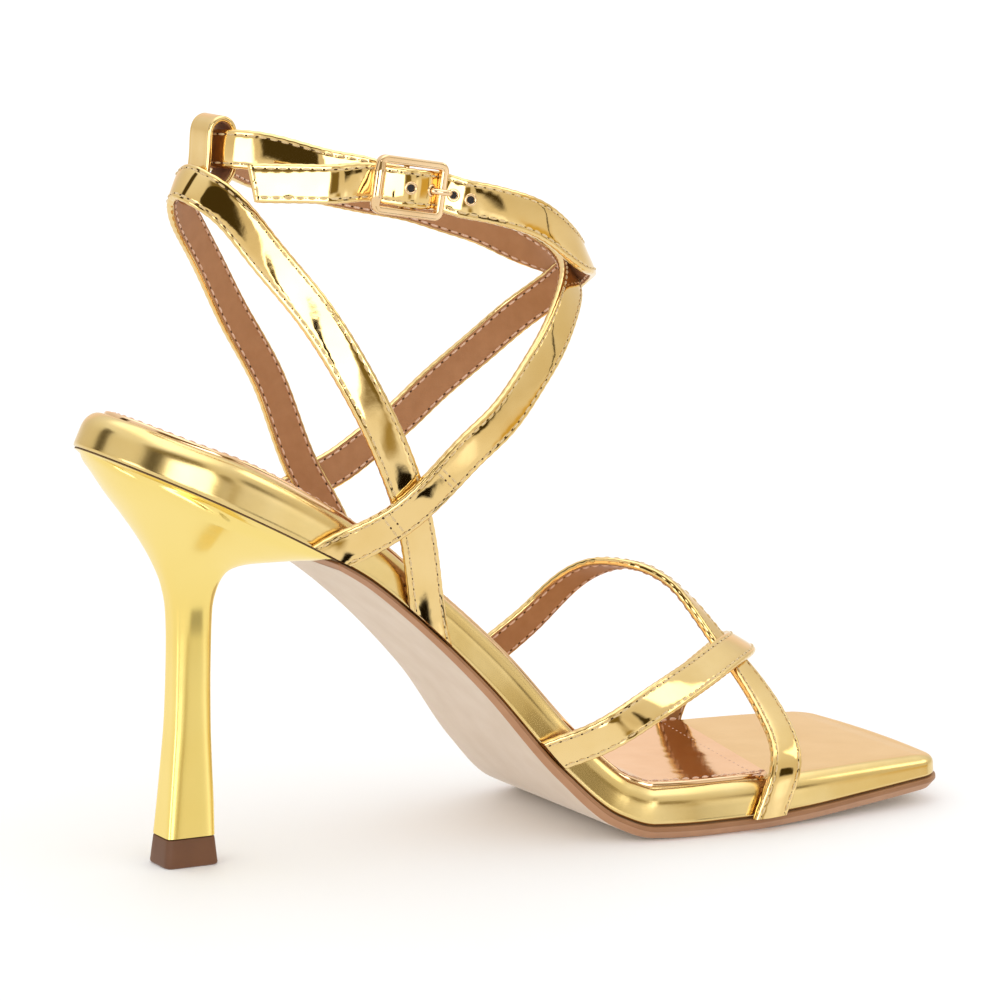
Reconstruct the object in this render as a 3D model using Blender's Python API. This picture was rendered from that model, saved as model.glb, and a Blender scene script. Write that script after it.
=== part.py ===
"""Strappy heeled sandal for the right foot, built as separate closed solids in metres.

+X points to the toe, +Y to the inner side of the foot and +Z up.
The origin is the middle of the heel's print on the floor, and the floor is z = 0.
"""

import math

import bmesh
import bpy
import numpy as np

for old in list(bpy.data.objects):
    bpy.data.objects.remove(old, do_unlink=True)

MM = 0.001

# Driving sizes.
SHOE_LENGTH = 224.5 * MM
HEEL_BACK = -26.5 * MM
BALL_WIDTH = 71 * MM
HEEL_RISE = 101.5 * MM
GAP = 0.3 * MM

SOLE_THICKNESS = 3.2 * MM
SOLE_LIP = 0.9 * MM
SOLE_START = 0.246
RIM_THICKNESS = 9.0 * MM
RIM_ROUNDING = 3.4 * MM
HEEL_CUP = 0.118
TOE_CORNER = 6.5 * MM
TOE_BOW = 1.2 * MM

SOCK_THICKNESS = 1.3 * MM
SOCK_INSET = 3.9 * MM
SOCK_END_OUTER = 0.765
SOCK_END_INNER = 0.822

TIP_HEIGHT = 6.8 * MM
TIP_TOP = (TIP_HEIGHT + GAP) / HEEL_RISE
SEAT_INSET = 0.6 * MM

ANKLE_STRAP_WIDTH = 9.0 * MM
TOE_STRAP_WIDTH = 8.6 * MM
STRAP_THICKNESS = 1.8 * MM
STRAP_CHAMFER = 0.5 * MM

LOOP_WIDTH = 10.0 * MM
LOOP_THICKNESS = 1.2 * MM
LOOP_STANDS_AT = HEEL_BACK + 0.118 * SHOE_LENGTH

BUCKLE_LENGTH = 18.6 * MM
BUCKLE_HEIGHT = 13.6 * MM
BUCKLE_CORNER = 1.3 * MM
BUCKLE_BAR = 0.95 * MM
END_BAR_SWELL = 1.35
CENTRE_BAR = 0.7 * MM
CENTRE_BAR_DIP = 2.5 * MM
BUCKLE_SLOPE = math.radians(8.8)
BUCKLE_MIDDLE = np.array([HEEL_BACK + 0.302 * SHOE_LENGTH, -0.4563 * BALL_WIDTH, 1.589 * HEEL_RISE])
PRONG = 0.75 * MM
PRONG_WIRE = 0.5 * MM
PRONG_HOLE = 2.1 * MM
PRONG_HOLE_AT = 5.55 * MM
PRONG_SLOT_BACK = 1.8 * MM
PRONG_SLOT_FRONT = 4.5 * MM
PRONG_SLOT_HALF = 1.1 * MM
CUT_DEPTH = 4.0 * MM

GOLD_FOIL = dict(colour=(0.83, 0.62, 0.24), roughness=0.12, metallic=1.0)
HEEL_GOLD = dict(colour=(0.90, 0.70, 0.26), roughness=0.10, metallic=1.0)
SOCK_GOLD = dict(colour=(0.80, 0.58, 0.30), roughness=0.16, metallic=1.0)
BUCKLE_GOLD = dict(colour=(0.88, 0.70, 0.55), roughness=0.12, metallic=1.0)
SOLE_TAN = dict(colour=(0.66, 0.52, 0.43), roughness=0.55, metallic=0.0)
TIP_BROWN = dict(colour=(0.19, 0.09, 0.045), roughness=0.6, metallic=0.0)

# The bed is the top of the outsole. Along is the share of SHOE_LENGTH from the heel's back,
# rise the share of HEEL_RISE, outer and inner the half widths as shares of BALL_WIDTH,
# sole the share of SOLE_THICKNESS and rim the share of RIM_THICKNESS.
BED_COLUMNS = ("along", "rise", "outer", "inner", "sole", "rim")
BED = (
    (0.000, 0.991, 0.338, 0.338, 0.47, 1.06),
    (0.053, 0.937, 0.349, 0.349, 0.47, 1.08),
    (0.133, 0.852, 0.358, 0.358, 0.47, 1.17),
    (0.233, 0.739, 0.338, 0.330, 0.47, 1.07),
    (0.283, 0.676, 0.318, 0.314, 0.48, 0.95),
    (0.333, 0.592, 0.303, 0.304, 0.50, 0.89),
    (0.433, 0.384, 0.317, 0.338, 0.56, 0.97),
    (0.512, 0.179, 0.380, 0.408, 0.69, 1.00),
    (0.572, 0.064, 0.437, 0.459, 0.84, 1.00),
    (0.612, 0.035, 0.465, 0.487, 0.94, 1.00),
    (0.672, 0.032, 0.489, 0.507, 1.00, 1.00),
    (0.732, 0.032, 0.494, 0.513, 1.00, 0.99),
    (0.792, 0.038, 0.490, 0.510, 1.00, 0.94),
    (0.891, 0.053, 0.459, 0.482, 1.00, 0.78),
    (1.000, 0.068, 0.408, 0.444, 0.94, 0.56),
)

# Rows of a strap's middle line: along, side (share of BALL_WIDTH, inner side positive),
# rise, and where its face looks: face is degrees round from the toe, tilt degrees up.
STRAP_COLUMNS = ("along", "side", "rise", "face", "tilt")
HEEL_STRAP = (
    (0.364, -0.322, 0.470, -90, 0),
    (0.354, -0.324, 0.560, -90, 0),
    (0.339, -0.350, 0.712, -90, -8),
    (0.322, -0.386, 0.830, -90, -8),
    (0.304, -0.404, 0.925, -92, -5),
    (0.281, -0.404, 1.035, -97, 2),
    (0.249, -0.373, 1.174, -108, 8),
    (0.211, -0.319, 1.315, -120, 12),
    (0.169, -0.239, 1.445, -132, 17),
    (0.134, -0.145, 1.553, -150, 24),
    (0.117, -0.075, 1.584, -170, 29),
    (0.115, 0.000, 1.588, -180, 30),
    (0.119, 0.075, 1.566, -192, 28),
    (0.131, 0.130, 1.527, -214, 23),
    (0.162, 0.224, 1.450, -230, 17),
    (0.193, 0.288, 1.360, -240, 12),
    (0.229, 0.335, 1.236, -251, 8),
    (0.274, 0.363, 1.080, -262, 2),
    (0.312, 0.340, 0.861, -270, -4),
    (0.331, 0.330, 0.785, -270, -3),
    (0.351, 0.327, 0.700, -270, 0),
    (0.367, 0.328, 0.600, -270, 0),
    (0.380, 0.336, 0.480, -270, 0),
    (0.392, 0.345, 0.380, -270, 0),
)
OUTER_STRAP = (
    (0.123, -0.380, 0.620, -90, 0),
    (0.183, -0.370, 0.690, -90, 0),
    (0.228, -0.360, 0.745, -90, 0),
    (0.263, -0.370, 0.775, -90, -4),
    (0.296, -0.403, 0.815, -89, -8),
    (0.323, -0.425, 0.861, -88, -6),
    (0.353, -0.433, 0.920, -87, -2),
    (0.385, -0.431, 0.981, -85, 2),
    (0.418, -0.414, 1.031, -82, 6),
    (0.466, -0.364, 1.127, -74, 12),
    (0.502, -0.300, 1.199, -66, 18),
    (0.534, -0.215, 1.268, -52, 25),
    (0.559, -0.115, 1.312, -34, 32),
    (0.576, -0.010, 1.334, -10, 36),
    (0.584, 0.075, 1.344, 14, 34),
    (0.583, 0.150, 1.354, 36, 28),
    (0.565, 0.262, 1.380, 58, 18),
    (0.535, 0.340, 1.419, 72, 12),
    (0.496, 0.394, 1.451, 80, 8),
    (0.456, 0.420, 1.480, 87, 6),
    (0.408, 0.429, 1.502, 93, 5),
    (0.346, 0.414, 1.532, 100, 4),
    (0.281, 0.363, 1.565, 112, 3),
    (0.242, 0.307, 1.590, 124, 3),
    (0.188, 0.180, 1.632, 142, 4),
    (0.155, 0.075, 1.655, 165, 5),
    (0.150, 0.000, 1.662, 180, 5),
    (0.155, -0.075, 1.665, 197, 5),
    (0.173, -0.150, 1.664, 222, 5),
    (0.204, -0.240, 1.647, 236, 4),
    (0.238, -0.320, 1.625, 252, 3),
)
INNER_STRAP = (
    (0.123, 0.392, 0.640, 90, 0),
    (0.198, 0.360, 0.705, 90, 0),
    (0.252, 0.345, 0.755, 90, 0),
    (0.283, 0.338, 0.790, 90, -2),
    (0.307, 0.342, 0.815, 90, -5),
    (0.333, 0.356, 0.838, 90, -7),
    (0.362, 0.374, 0.862, 90, -8),
    (0.399, 0.395, 0.905, 86, -4),
    (0.442, 0.408, 0.962, 80, 2),
    (0.477, 0.404, 1.025, 74, 6),
    (0.534, 0.360, 1.132, 60, 14),
    (0.568, 0.285, 1.213, 46, 22),
    (0.585, 0.205, 1.262, 34, 28),
    (0.591, 0.110, 1.304, 16, 33),
    (0.588, 0.010, 1.340, -6, 36),
    (0.578, -0.095, 1.366, -26, 33),
    (0.561, -0.200, 1.385, -44, 27),
    (0.539, -0.290, 1.402, -58, 21),
    (0.503, -0.365, 1.449, -69, 14),
    (0.459, -0.420, 1.503, -79, 9),
    (0.422, -0.440, 1.530, -84, 6),
    (0.389, -0.446, 1.548, -88, 4),
    (0.364, -0.440, 1.560, -90, 1),
)
INNER_STRAP_TAIL = (
    (0.228, -0.425, 1.602, -96, 2),
    (0.197, -0.402, 1.603, -104, 2),
    (0.169, -0.368, 1.604, -114, 2),
    (0.143, -0.327, 1.605, -124, 2),
)
# Rows of a strap's middle line at the buckle, from the buckle's middle: ahead is a share of
# BUCKLE_LENGTH, up of BUCKLE_HEIGHT and out of STRAP_THICKNESS.
AT_BUCKLE_COLUMNS = ("ahead", "up", "out", "face", "tilt")
HOOK_AT_BUCKLE = (
    (-0.412, 0.077, -3.88, 264, 1),
    (-0.185, 0.019, -2.86, 268, 0),
    (0.000, -0.001, -2.50, 264, 0),
    (0.076, -0.024, -2.22, 236, 0),
    (0.125, -0.028, -1.43, 185, 0),
    (0.114, -0.038, -0.92, 180, 0),
)
TAIL_AT_BUCKLE = (
    (0.513, 0.001, -1.47, -90, 0),
    (0.268, 0.002, -0.25, -90, 0),
    (0.000, -0.001, 0.46, -90, 0),
    (-0.256, -0.003, -0.25, -90, 0),
    (-0.501, -0.001, -1.47, -92, 0),
)
TOE_UNDER_STRAP = (
    (0.442, 0.365, 0.080, 90, 0),
    (0.477, 0.400, 0.180, 90, 0),
    (0.510, 0.430, 0.258, 90, -2),
    (0.544, 0.441, 0.320, 90, 4),
    (0.578, 0.428, 0.378, 88, 9),
    (0.613, 0.405, 0.441, 84, 19),
    (0.643, 0.350, 0.520, 80, 36),
    (0.662, 0.268, 0.569, 69, 56),
    (0.682, 0.170, 0.589, 37, 75),
    (0.705, 0.085, 0.577, -8, 69),
    (0.725, 0.022, 0.540, -23, 49),
    (0.740, -0.036, 0.490, -36, 46),
    (0.758, -0.100, 0.420, -48, 43),
    (0.771, -0.185, 0.358, -62, 44),
    (0.778, -0.285, 0.298, -72, 50),
    (0.778, -0.390, 0.242, -80, 48),
    (0.774, -0.465, 0.198, -85, 32),
    (0.768, -0.503, 0.155, -90, 12),
    (0.761, -0.514, 0.115, -90, 0),
    (0.749, -0.516, 0.050, -90, 0),
    (0.737, -0.516, -0.020, -90, 0),
)
TOE_OVER_STRAP = (
    (0.454, -0.345, 0.185, -90, 0),
    (0.497, -0.387, 0.226, -90, -2),
    (0.527, -0.437, 0.254, -90, 0),
    (0.544, -0.465, 0.274, -88, 5),
    (0.588, -0.472, 0.320, -80, 20),
    (0.643, -0.408, 0.355, -68, 38),
    (0.707, -0.296, 0.383, -56, 52),
    (0.755, -0.197, 0.401, -50, 55),
    (0.791, -0.085, 0.398, -35, 58),
    (0.815, 0.056, 0.380, 0, 58),
    (0.826, 0.197, 0.338, 35, 52),
    (0.827, 0.352, 0.272, 55, 46),
    (0.823, 0.465, 0.207, 75, 28),
    (0.820, 0.512, 0.155, 88, 8),
    (0.815, 0.524, 0.100, 90, 0),
    (0.809, 0.524, 0.030, 90, 0),
    (0.802, 0.524, -0.040, 90, 0),
)

# Rows of the heel from the floor up. All lengths are shares of HEEL_RISE; each section runs
# from a back point to a front point, and a higher square makes that half boxier.
HEEL_COLUMNS = ("back", "back_rise", "front", "front_rise", "half", "back_square", "front_square")
HEEL_SECTIONS = (
    (-0.062, TIP_TOP, 0.062, TIP_TOP, 0.048, 8, 8),
    (-0.056, 0.138, 0.062, 0.138, 0.045, 7, 7),
    (-0.048, 0.236, 0.059, 0.236, 0.042, 6, 6),
    (-0.041, 0.335, 0.057, 0.335, 0.040, 5, 5),
    (-0.038, 0.433, 0.057, 0.433, 0.039, 4.5, 4.5),
    (-0.037, 0.532, 0.059, 0.532, 0.040, 4, 4),
    (-0.040, 0.601, 0.062, 0.599, 0.044, 3.4, 3.4),
    (-0.052, 0.660, 0.074, 0.654, 0.055, 2.8, 3.2),
    (-0.074, 0.714, 0.096, 0.691, 0.075, 2.5, 3.4),
    (-0.105, 0.770, 0.133, 0.705, 0.106, 2.3, 3.9),
    (-0.145, 0.828, 0.178, 0.710, 0.144, 2.1, 4.6),
    (-0.186, 0.885, 0.223, 0.715, 0.183, 2.1, 5.4),
    (-0.223, 0.941, 0.256, 0.719, 0.215, 2, 7),
)
SEAT_END = 0.238

# The back loop's middle line: ahead of LOOP_STANDS_AT and up, as shares of HEEL_RISE.
LOOP_PATH = (
    (0.010, 1.548),
    (0.023, 1.576),
    (0.035, 1.615),
    (0.039, 1.655),
    (0.041, 1.695),
    (0.049, 1.721),
    (0.071, 1.733),
    (0.094, 1.722),
    (0.104, 1.689),
    (0.105, 1.645),
    (0.097, 1.606),
    (0.073, 1.578),
    (0.045, 1.555),
    (0.022, 1.537),
)


def table(names, rows):
    """Return a dict from column name to its numpy column."""
    return dict(zip(names, np.array(rows, dtype=float).T))


def ease(known_at, known, at):
    """Return a curve through the known values that never overshoots between them."""
    step = np.diff(known_at)
    slope = np.diff(known) / step
    before, after = slope[:-1], slope[1:]
    weight_a = 2 * step[1:] + step[:-1]
    weight_b = step[1:] + 2 * step[:-1]
    same_way = before * after > 0
    safe_before = np.where(same_way, before, 1.0)
    safe_after = np.where(same_way, after, 1.0)
    harmonic = (weight_a + weight_b) / (weight_a / safe_before + weight_b / safe_after)
    tangent = np.concatenate([slope[:1], np.where(same_way, harmonic, 0.0), slope[-1:]])
    cell = np.clip(np.searchsorted(known_at, at, side="right") - 1, 0, len(step) - 1)
    width = step[cell]
    t = np.clip((at - known_at[cell]) / width, 0.0, 1.0)
    return (
        known[cell] * (1 + 2 * t) * (1 - t) ** 2
        + known[cell + 1] * t * t * (3 - 2 * t)
        + width * tangent[cell] * t * (1 - t) ** 2
        - width * tangent[cell + 1] * t * t * (1 - t)
    )


def spline(points, steps):
    """Return a natural cubic spline through rows of points, with steps stations per gap."""
    reach = np.concatenate([[0.0], np.cumsum(np.linalg.norm(np.diff(points[:, :3], axis=0), axis=1))])
    gap = np.diff(reach)[:, None]
    count = len(points)
    system = np.eye(count)
    right = np.zeros_like(points)
    for row in range(1, count - 1):
        left, ahead = gap[row - 1, 0], gap[row, 0]
        system[row, row - 1 : row + 2] = left, 2 * (left + ahead), ahead
        rise = (points[row + 1] - points[row]) / ahead
        right[row] = 6 * (rise - (points[row] - points[row - 1]) / left)
    bend = np.linalg.solve(system, right)
    share = np.arange(steps) / steps
    parts = []
    for row in range(count - 1):
        width = gap[row, 0]
        b = share[:, None]
        a = 1 - b
        cubic_a = (a**3 - a) * bend[row] + (b**3 - b) * bend[row + 1]
        parts.append(a * points[row] + b * points[row + 1] + cubic_a * width**2 / 6)
    parts.append(points[-1:])
    return np.concatenate(parts)


BED_AT = table(BED_COLUMNS, BED)


def bed(column, along):
    """Return one column of the bed table at these shares of the length."""
    return ease(BED_AT["along"], BED_AT[column], np.clip(along, 0.0, 1.0))


FINE = np.linspace(0.0, 1.0, 2001)
LINE_X = HEEL_BACK + SHOE_LENGTH * FINE
LINE_Z = HEEL_RISE * bed("rise", FINE)
REACH = np.concatenate([[0.0], np.cumsum(np.hypot(np.diff(LINE_X), np.diff(LINE_Z)))])


def on_bed(reach, side, height):
    """Return points at a length along the bed, a side offset and a height square to it."""
    over = np.clip(reach, 0.0, REACH[-1])
    x = np.interp(over, REACH, LINE_X)
    z = np.interp(over, REACH, LINE_Z)
    span = 1.5 * MM
    ahead, behind = np.clip(over + span, 0, REACH[-1]), np.clip(over - span, 0, REACH[-1])
    run = np.interp(ahead, REACH, LINE_X) - np.interp(behind, REACH, LINE_X)
    climb = np.interp(ahead, REACH, LINE_Z) - np.interp(behind, REACH, LINE_Z)
    size = np.hypot(run, climb)
    run, climb = run / size, climb / size
    beyond = reach - over
    return np.stack([x + beyond * run - height * climb, side, z + beyond * climb + height * run], axis=-1)


def row_shares(rows, cup, corner):
    """Return row positions from 0 to 1, closer together at a round back and a round front."""
    body = rows
    parts = []
    start, stop = 0.0, 1.0
    if cup > 0:
        turn = np.radians(np.linspace(24, 90, 7))[:-1]
        parts.append(cup * (1 - np.cos(turn)))
        start = cup
        body -= 6
    if corner > 0:
        turn = np.radians(np.linspace(0, 90, 5))[1:]
        round_rows = 1 - corner * (1 - np.sin(turn))
        stop = 1 - corner
        body -= 4
    parts.append(np.linspace(start, stop, body))
    if corner > 0:
        parts.append(round_rows)
    return np.concatenate(parts)


def half_width(side, along):
    """Return the half width of the shoe's outline, round at the heel's back."""
    from_back = np.clip(1 - along / HEEL_CUP, 0.0, 1.0)
    return BALL_WIDTH * bed(side, along) * np.sqrt(1 - from_back**2)


def outline(rows, columns, inset, back=0.0, front=(1.0, 1.0), corner=TOE_CORNER, bow=TOE_BOW):
    """Return a closed ring of (reach, side) points: back row, inner side, front row, outer side."""
    cup = HEEL_CUP if back == 0 else 0.0
    share = row_shares(rows, cup, corner / SHOE_LENGTH)
    across = np.linspace(-1, 1, columns)
    sides = {}
    for name, sign, stop in (("outer", -1, front[0]), ("inner", 1, front[1])):
        along = back + share * (stop - back)
        from_front = np.clip((stop - along) * SHOE_LENGTH, 0, corner)
        width = half_width(name, along)
        if corner > 0:
            width = width - corner + np.sqrt(corner**2 - (corner - from_front) ** 2)
        sides[name] = np.stack([along, sign * width], axis=-1)
    outer, inner = sides["outer"], sides["inner"]
    ends = []
    for row in (0, -1):
        mix = (across[:, None] + 1) / 2
        ends.append(outer[row] * (1 - mix) + inner[row] * mix)
    if back == 0:
        widths = np.where(across < 0, BALL_WIDTH * bed("outer", 0.0), BALL_WIDTH * bed("inner", 0.0))
        ends[0][:, 0] = HEEL_CUP * (1 - np.sqrt(1 - (ends[0][:, 1] / widths) ** 2))
    ends[1][:, 0] += bow / SHOE_LENGTH * (1 - across**2)
    ring = np.concatenate([ends[0], inner[1:-1], ends[1][::-1], outer[-2:0:-1]])
    reach = np.interp(ring[:, 0], FINE, REACH) + np.clip(ring[:, 0] - 1, 0, None) * SHOE_LENGTH
    flat = np.stack([reach, ring[:, 1]], axis=-1)
    tangent = np.roll(flat, -1, axis=0) - np.roll(flat, 1, axis=0)
    inward = np.stack([tangent[:, 1], -tangent[:, 0]], axis=-1)
    inward /= np.linalg.norm(inward, axis=1)[:, None]
    moved = flat + np.asarray(inset).reshape(-1, 1) * inward
    return moved, ring[:, 0]


def ring_on_bed(flat, height):
    """Return 3-D points of a flat ring at this height over the bed."""
    return on_bed(flat[:, 0], flat[:, 1], height)


def solid_from_rings(name, rings, rows, columns, finish):
    """Build a closed solid from stacked rings, with row and column grids as its two ends."""
    shape = bmesh.new()
    verts = [[shape.verts.new(point) for point in ring] for ring in rings]
    for low, high in zip(verts, verts[1:]):
        for i in range(len(low)):
            j = (i + 1) % len(low)
            shape.faces.new((low[i], low[j], high[j], high[i]))
    for ring in (verts[0], verts[-1]):
        grid = [ring[:columns]]
        for row in range(1, rows - 1):
            outer = ring[len(ring) - row]
            inner = ring[columns + row - 1]
            mid = [shape.verts.new(outer.co.lerp(inner.co, c / (columns - 1))) for c in range(1, columns - 1)]
            grid.append([outer] + mid + [inner])
        front = columns + rows - 2
        grid.append(ring[front : front + columns][::-1])
        for low, high in zip(grid, grid[1:]):
            for c in range(columns - 1):
                shape.faces.new((low[c], low[c + 1], high[c + 1], high[c]))
    return finish_object(name, shape, finish)


def finish_object(name, shape, finish):
    """Turn a bmesh into a smooth-shaded object with its own material."""
    bmesh.ops.recalc_face_normals(shape, faces=shape.faces)
    mesh = bpy.data.meshes.new(name)
    shape.to_mesh(mesh)
    shape.free()
    thing = bpy.data.objects.new(name, mesh)
    bpy.context.scene.collection.objects.link(thing)
    paint(thing, finish)
    return thing


def paint(thing, finish):
    """Give the object one material and smooth faces with sharp edges kept."""
    material = bpy.data.materials.new(thing.name + "_surface")
    material.use_nodes = True
    shader = material.node_tree.nodes["Principled BSDF"]
    shader.inputs["Base Color"].default_value = (*finish["colour"], 1.0)
    shader.inputs["Roughness"].default_value = finish["roughness"]
    shader.inputs["Metallic"].default_value = finish["metallic"]
    thing.data.materials.clear()
    thing.data.materials.append(material)
    for face in thing.data.polygons:
        face.use_smooth = True
    thing.data.set_sharp_from_angle(angle=math.radians(40))


def sweep(name, centres, across, outward, half_w, half_t, chamfer, finish, closed=False):
    """Build a bar of chamfered rectangular section along a line of centres."""
    flat_w, flat_t = half_w - chamfer, half_t - chamfer
    section = [
        (-half_w, -flat_t), (-flat_w, -half_t), (flat_w, -half_t), (half_w, -flat_t),
        (half_w, flat_t), (flat_w, half_t), (-flat_w, half_t), (-half_w, flat_t),
    ]
    shape = bmesh.new()
    rings = [
        [shape.verts.new(c + a * u + o * v) for u, v in section]
        for c, a, o in zip(centres, across, outward)
    ]
    loop = list(zip(rings, rings[1:] + rings[:1])) if closed else list(zip(rings, rings[1:]))
    for low, high in loop:
        for i in range(len(section)):
            j = (i + 1) % len(section)
            shape.faces.new((low[i], low[j], high[j], high[i]))
    if not closed:
        shape.faces.new(rings[0])
        shape.faces.new(rings[-1])
    return finish_object(name, shape, finish)


def frames(centres, facing):
    """Return unit across and outward directions square to the line of centres."""
    tangent = np.gradient(centres, axis=0)
    tangent /= np.linalg.norm(tangent, axis=1)[:, None]
    outward = facing - (facing * tangent).sum(axis=1)[:, None] * tangent
    outward /= np.linalg.norm(outward, axis=1)[:, None]
    return np.cross(outward, tangent), outward


def knots(rows):
    """Return a strap table's points, each with its face and tilt in radians."""
    at = table(STRAP_COLUMNS, rows)
    return np.stack([
        HEEL_BACK + SHOE_LENGTH * at["along"],
        BALL_WIDTH * at["side"],
        HEEL_RISE * at["rise"],
        np.radians(at["face"]),
        np.radians(at["tilt"]),
    ], axis=-1)


def buckle_knots(rows):
    """Return the points of a table that is measured from the buckle's middle, as knots does."""
    at = table(AT_BUCKLE_COLUMNS, rows)
    sizes = (BUCKLE_LENGTH, BUCKLE_HEIGHT, STRAP_THICKNESS)
    places = np.array([buckle_point(*place) for place in zip(*(at[c] * s for c, s in zip(AT_BUCKLE_COLUMNS, sizes)))])
    return np.column_stack([places, np.radians(at["face"]), np.radians(at["tilt"])])


def strap(name, points, width, steps=2):
    """Build one strap through its knots."""
    line = spline(points, steps)
    face, tilt = line[:, 3], line[:, 4]
    facing = np.stack([np.cos(tilt) * np.cos(face), np.cos(tilt) * np.sin(face), np.sin(tilt)], axis=-1)
    centres = line[:, :3]
    across, outward = frames(centres, facing)
    return sweep(name, centres, across, outward, width / 2, STRAP_THICKNESS / 2, STRAP_CHAMFER, GOLD_FOIL)


def boolean(target, tool, operation):
    """Join the tool to the target, or cut it away, and drop the tool."""
    step = target.modifiers.new(tool.name, "BOOLEAN")
    step.operation = operation
    step.solver = "EXACT"
    step.object = tool
    bpy.context.view_layer.update()
    graph = bpy.context.evaluated_depsgraph_get()
    mesh = bpy.data.meshes.new_from_object(target.evaluated_get(graph))
    target.modifiers.clear()
    target.data = mesh
    bpy.data.objects.remove(tool, do_unlink=True)


def below_bed():
    """Return a cutter that fills the space under the bed, so that straps end on the sole's top."""
    reach = np.linspace(-0.02, REACH[-1] + 0.02, 60)
    wide = 1.2 * BALL_WIDTH
    shape = bmesh.new()
    rows = []
    for height, side in ((GAP, -wide), (GAP, wide), (-0.35 * HEEL_RISE, wide), (-0.35 * HEEL_RISE, -wide)):
        points = on_bed(reach, np.full_like(reach, side), height)
        if height < 0:
            top = on_bed(reach, np.full_like(reach, side), GAP)
            points = top + np.array([0, 0, height])
        rows.append([shape.verts.new(point) for point in points])
    for i in range(4):
        one, two = rows[i], rows[(i + 1) % 4]
        for k in range(len(reach) - 1):
            shape.faces.new((one[k], one[k + 1], two[k + 1], two[k]))
    for k in (0, -1):
        shape.faces.new([row[k] for row in rows])
    return finish_object("space_below_bed", shape, SOLE_TAN)


def rod(name, centres, radius, sides, finish, closed=False):
    """Build a round bar along a line, starting from its own plane's normal."""
    centres = np.asarray(centres, dtype=float)
    if closed:
        tangent = np.roll(centres, -1, axis=0) - np.roll(centres, 1, axis=0)
    else:
        tangent = np.gradient(centres, axis=0)
    tangent /= np.linalg.norm(tangent, axis=1)[:, None]
    seed = np.array([0.0, 1.0, 0.0]) if abs(tangent[0][1]) < 0.9 else np.array([0.0, 0.0, 1.0])
    radii = np.broadcast_to(np.asarray(radius, dtype=float), (len(centres),))
    shape = bmesh.new()
    rings = []
    for centre, along, r in zip(centres, tangent, radii):
        one = seed - seed.dot(along) * along
        one /= np.linalg.norm(one)
        two = np.cross(along, one)
        seed = one
        turns = [math.tau * (k + 0.5) / sides for k in range(sides)]
        rings.append([shape.verts.new(centre + r * (math.cos(t) * one + math.sin(t) * two)) for t in turns])
    pairs = zip(rings, rings[1:] + rings[:1]) if closed else zip(rings, rings[1:])
    for low, high in pairs:
        for i in range(sides):
            j = (i + 1) % sides
            shape.faces.new((low[i], low[j], high[j], high[i]))
    if not closed:
        shape.faces.new(rings[0])
        shape.faces.new(rings[-1])
    return finish_object(name, shape, finish)


def buckle_point(along, up, out):
    """Return a point in the buckle's own frame: along the strap, up across it, and outward."""
    cos, sin = math.cos(BUCKLE_SLOPE), math.sin(BUCKLE_SLOPE)
    return BUCKLE_MIDDLE + np.array([along * cos + up * sin, -out, -along * sin + up * cos])


def make_outsole():
    """Build the outsole, from the heel's breast to the toe, with a bevelled lower edge."""
    rows, columns = 34, 7
    rings = []
    for inset, depth in ((1.4 * MM, 1.0), (0.2 * MM, 0.62), (-SOLE_LIP, 0.36), (-SOLE_LIP, 0.0)):
        flat, along = outline(rows, columns, inset, back=SOLE_START)
        thick = SOLE_THICKNESS * bed("sole", along)
        rings.append(ring_on_bed(flat, -depth * thick))
    return solid_from_rings("outsole", rings, rows, columns, SOLE_TAN)


def make_rim():
    """Build the wrapped platform that carries the foot, with a rounded top edge."""
    rows, columns = 40, 7
    levels = [(0.9 * MM, 0.0), (0.0, 0.10), (0.0, 0.52)]
    for turn in np.radians((30, 60, 90)):
        levels.append((RIM_ROUNDING * (1 - math.cos(turn)), 0.52 + 0.48 * math.sin(turn)))
    rings = []
    for inset, share in levels:
        flat, along = outline(rows, columns, inset)
        thick = RIM_THICKNESS * bed("rim", along)
        rings.append(ring_on_bed(flat, GAP + share * thick))
    return solid_from_rings("insole_rim", rings, rows, columns, GOLD_FOIL)


def make_sock():
    """Build the sock lining on the rim, ending in a slanted edge behind the toe platform."""
    rows, columns = 34, 7
    rings = []
    for inset, share in ((0.0, 0.0), (0.0, 0.6), (0.5 * MM, 1.0)):
        flat, along = outline(
            rows, columns, SOCK_INSET + inset, front=(SOCK_END_OUTER, SOCK_END_INNER), corner=0.0, bow=0.0
        )
        top = 2 * GAP + RIM_THICKNESS * bed("rim", along)
        rings.append(ring_on_bed(flat, top + share * SOCK_THICKNESS))
    return solid_from_rings("sock", rings, rows, columns, SOCK_GOLD)


def heel_ring(rows, columns, section):
    """Return one section of the heel as a ring of points in its own tilted plane."""
    across = np.linspace(-1, 1, columns)
    down = np.linspace(-1, 1, rows)
    corners = np.concatenate([
        np.stack([np.full(columns, -1.0), across], axis=-1),
        np.stack([down[1:-1], np.full(rows - 2, 1.0)], axis=-1),
        np.stack([np.full(columns, 1.0), across[::-1]], axis=-1),
        np.stack([down[-2:0:-1], np.full(rows - 2, -1.0)], axis=-1),
    ])
    square = np.where(corners[:, 0] < 0, section["back_square"], section["front_square"])
    turn = np.arctan2(corners[:, 1], corners[:, 0])
    p, q = np.cos(turn), np.sin(turn)
    size = (np.abs(p) ** square + np.abs(q) ** square) ** (-1 / square)
    p, q = p * size, q * size
    back = np.array([section["back"], 0.0, section["back_rise"]])
    front = np.array([section["front"], 0.0, section["front_rise"]])
    middle, reach = (back + front) / 2, (front - back) / 2
    sides = np.stack([np.zeros_like(q), q * section["half"], np.zeros_like(q)], axis=-1)
    return (middle + p[:, None] * reach + sides) * HEEL_RISE


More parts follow.
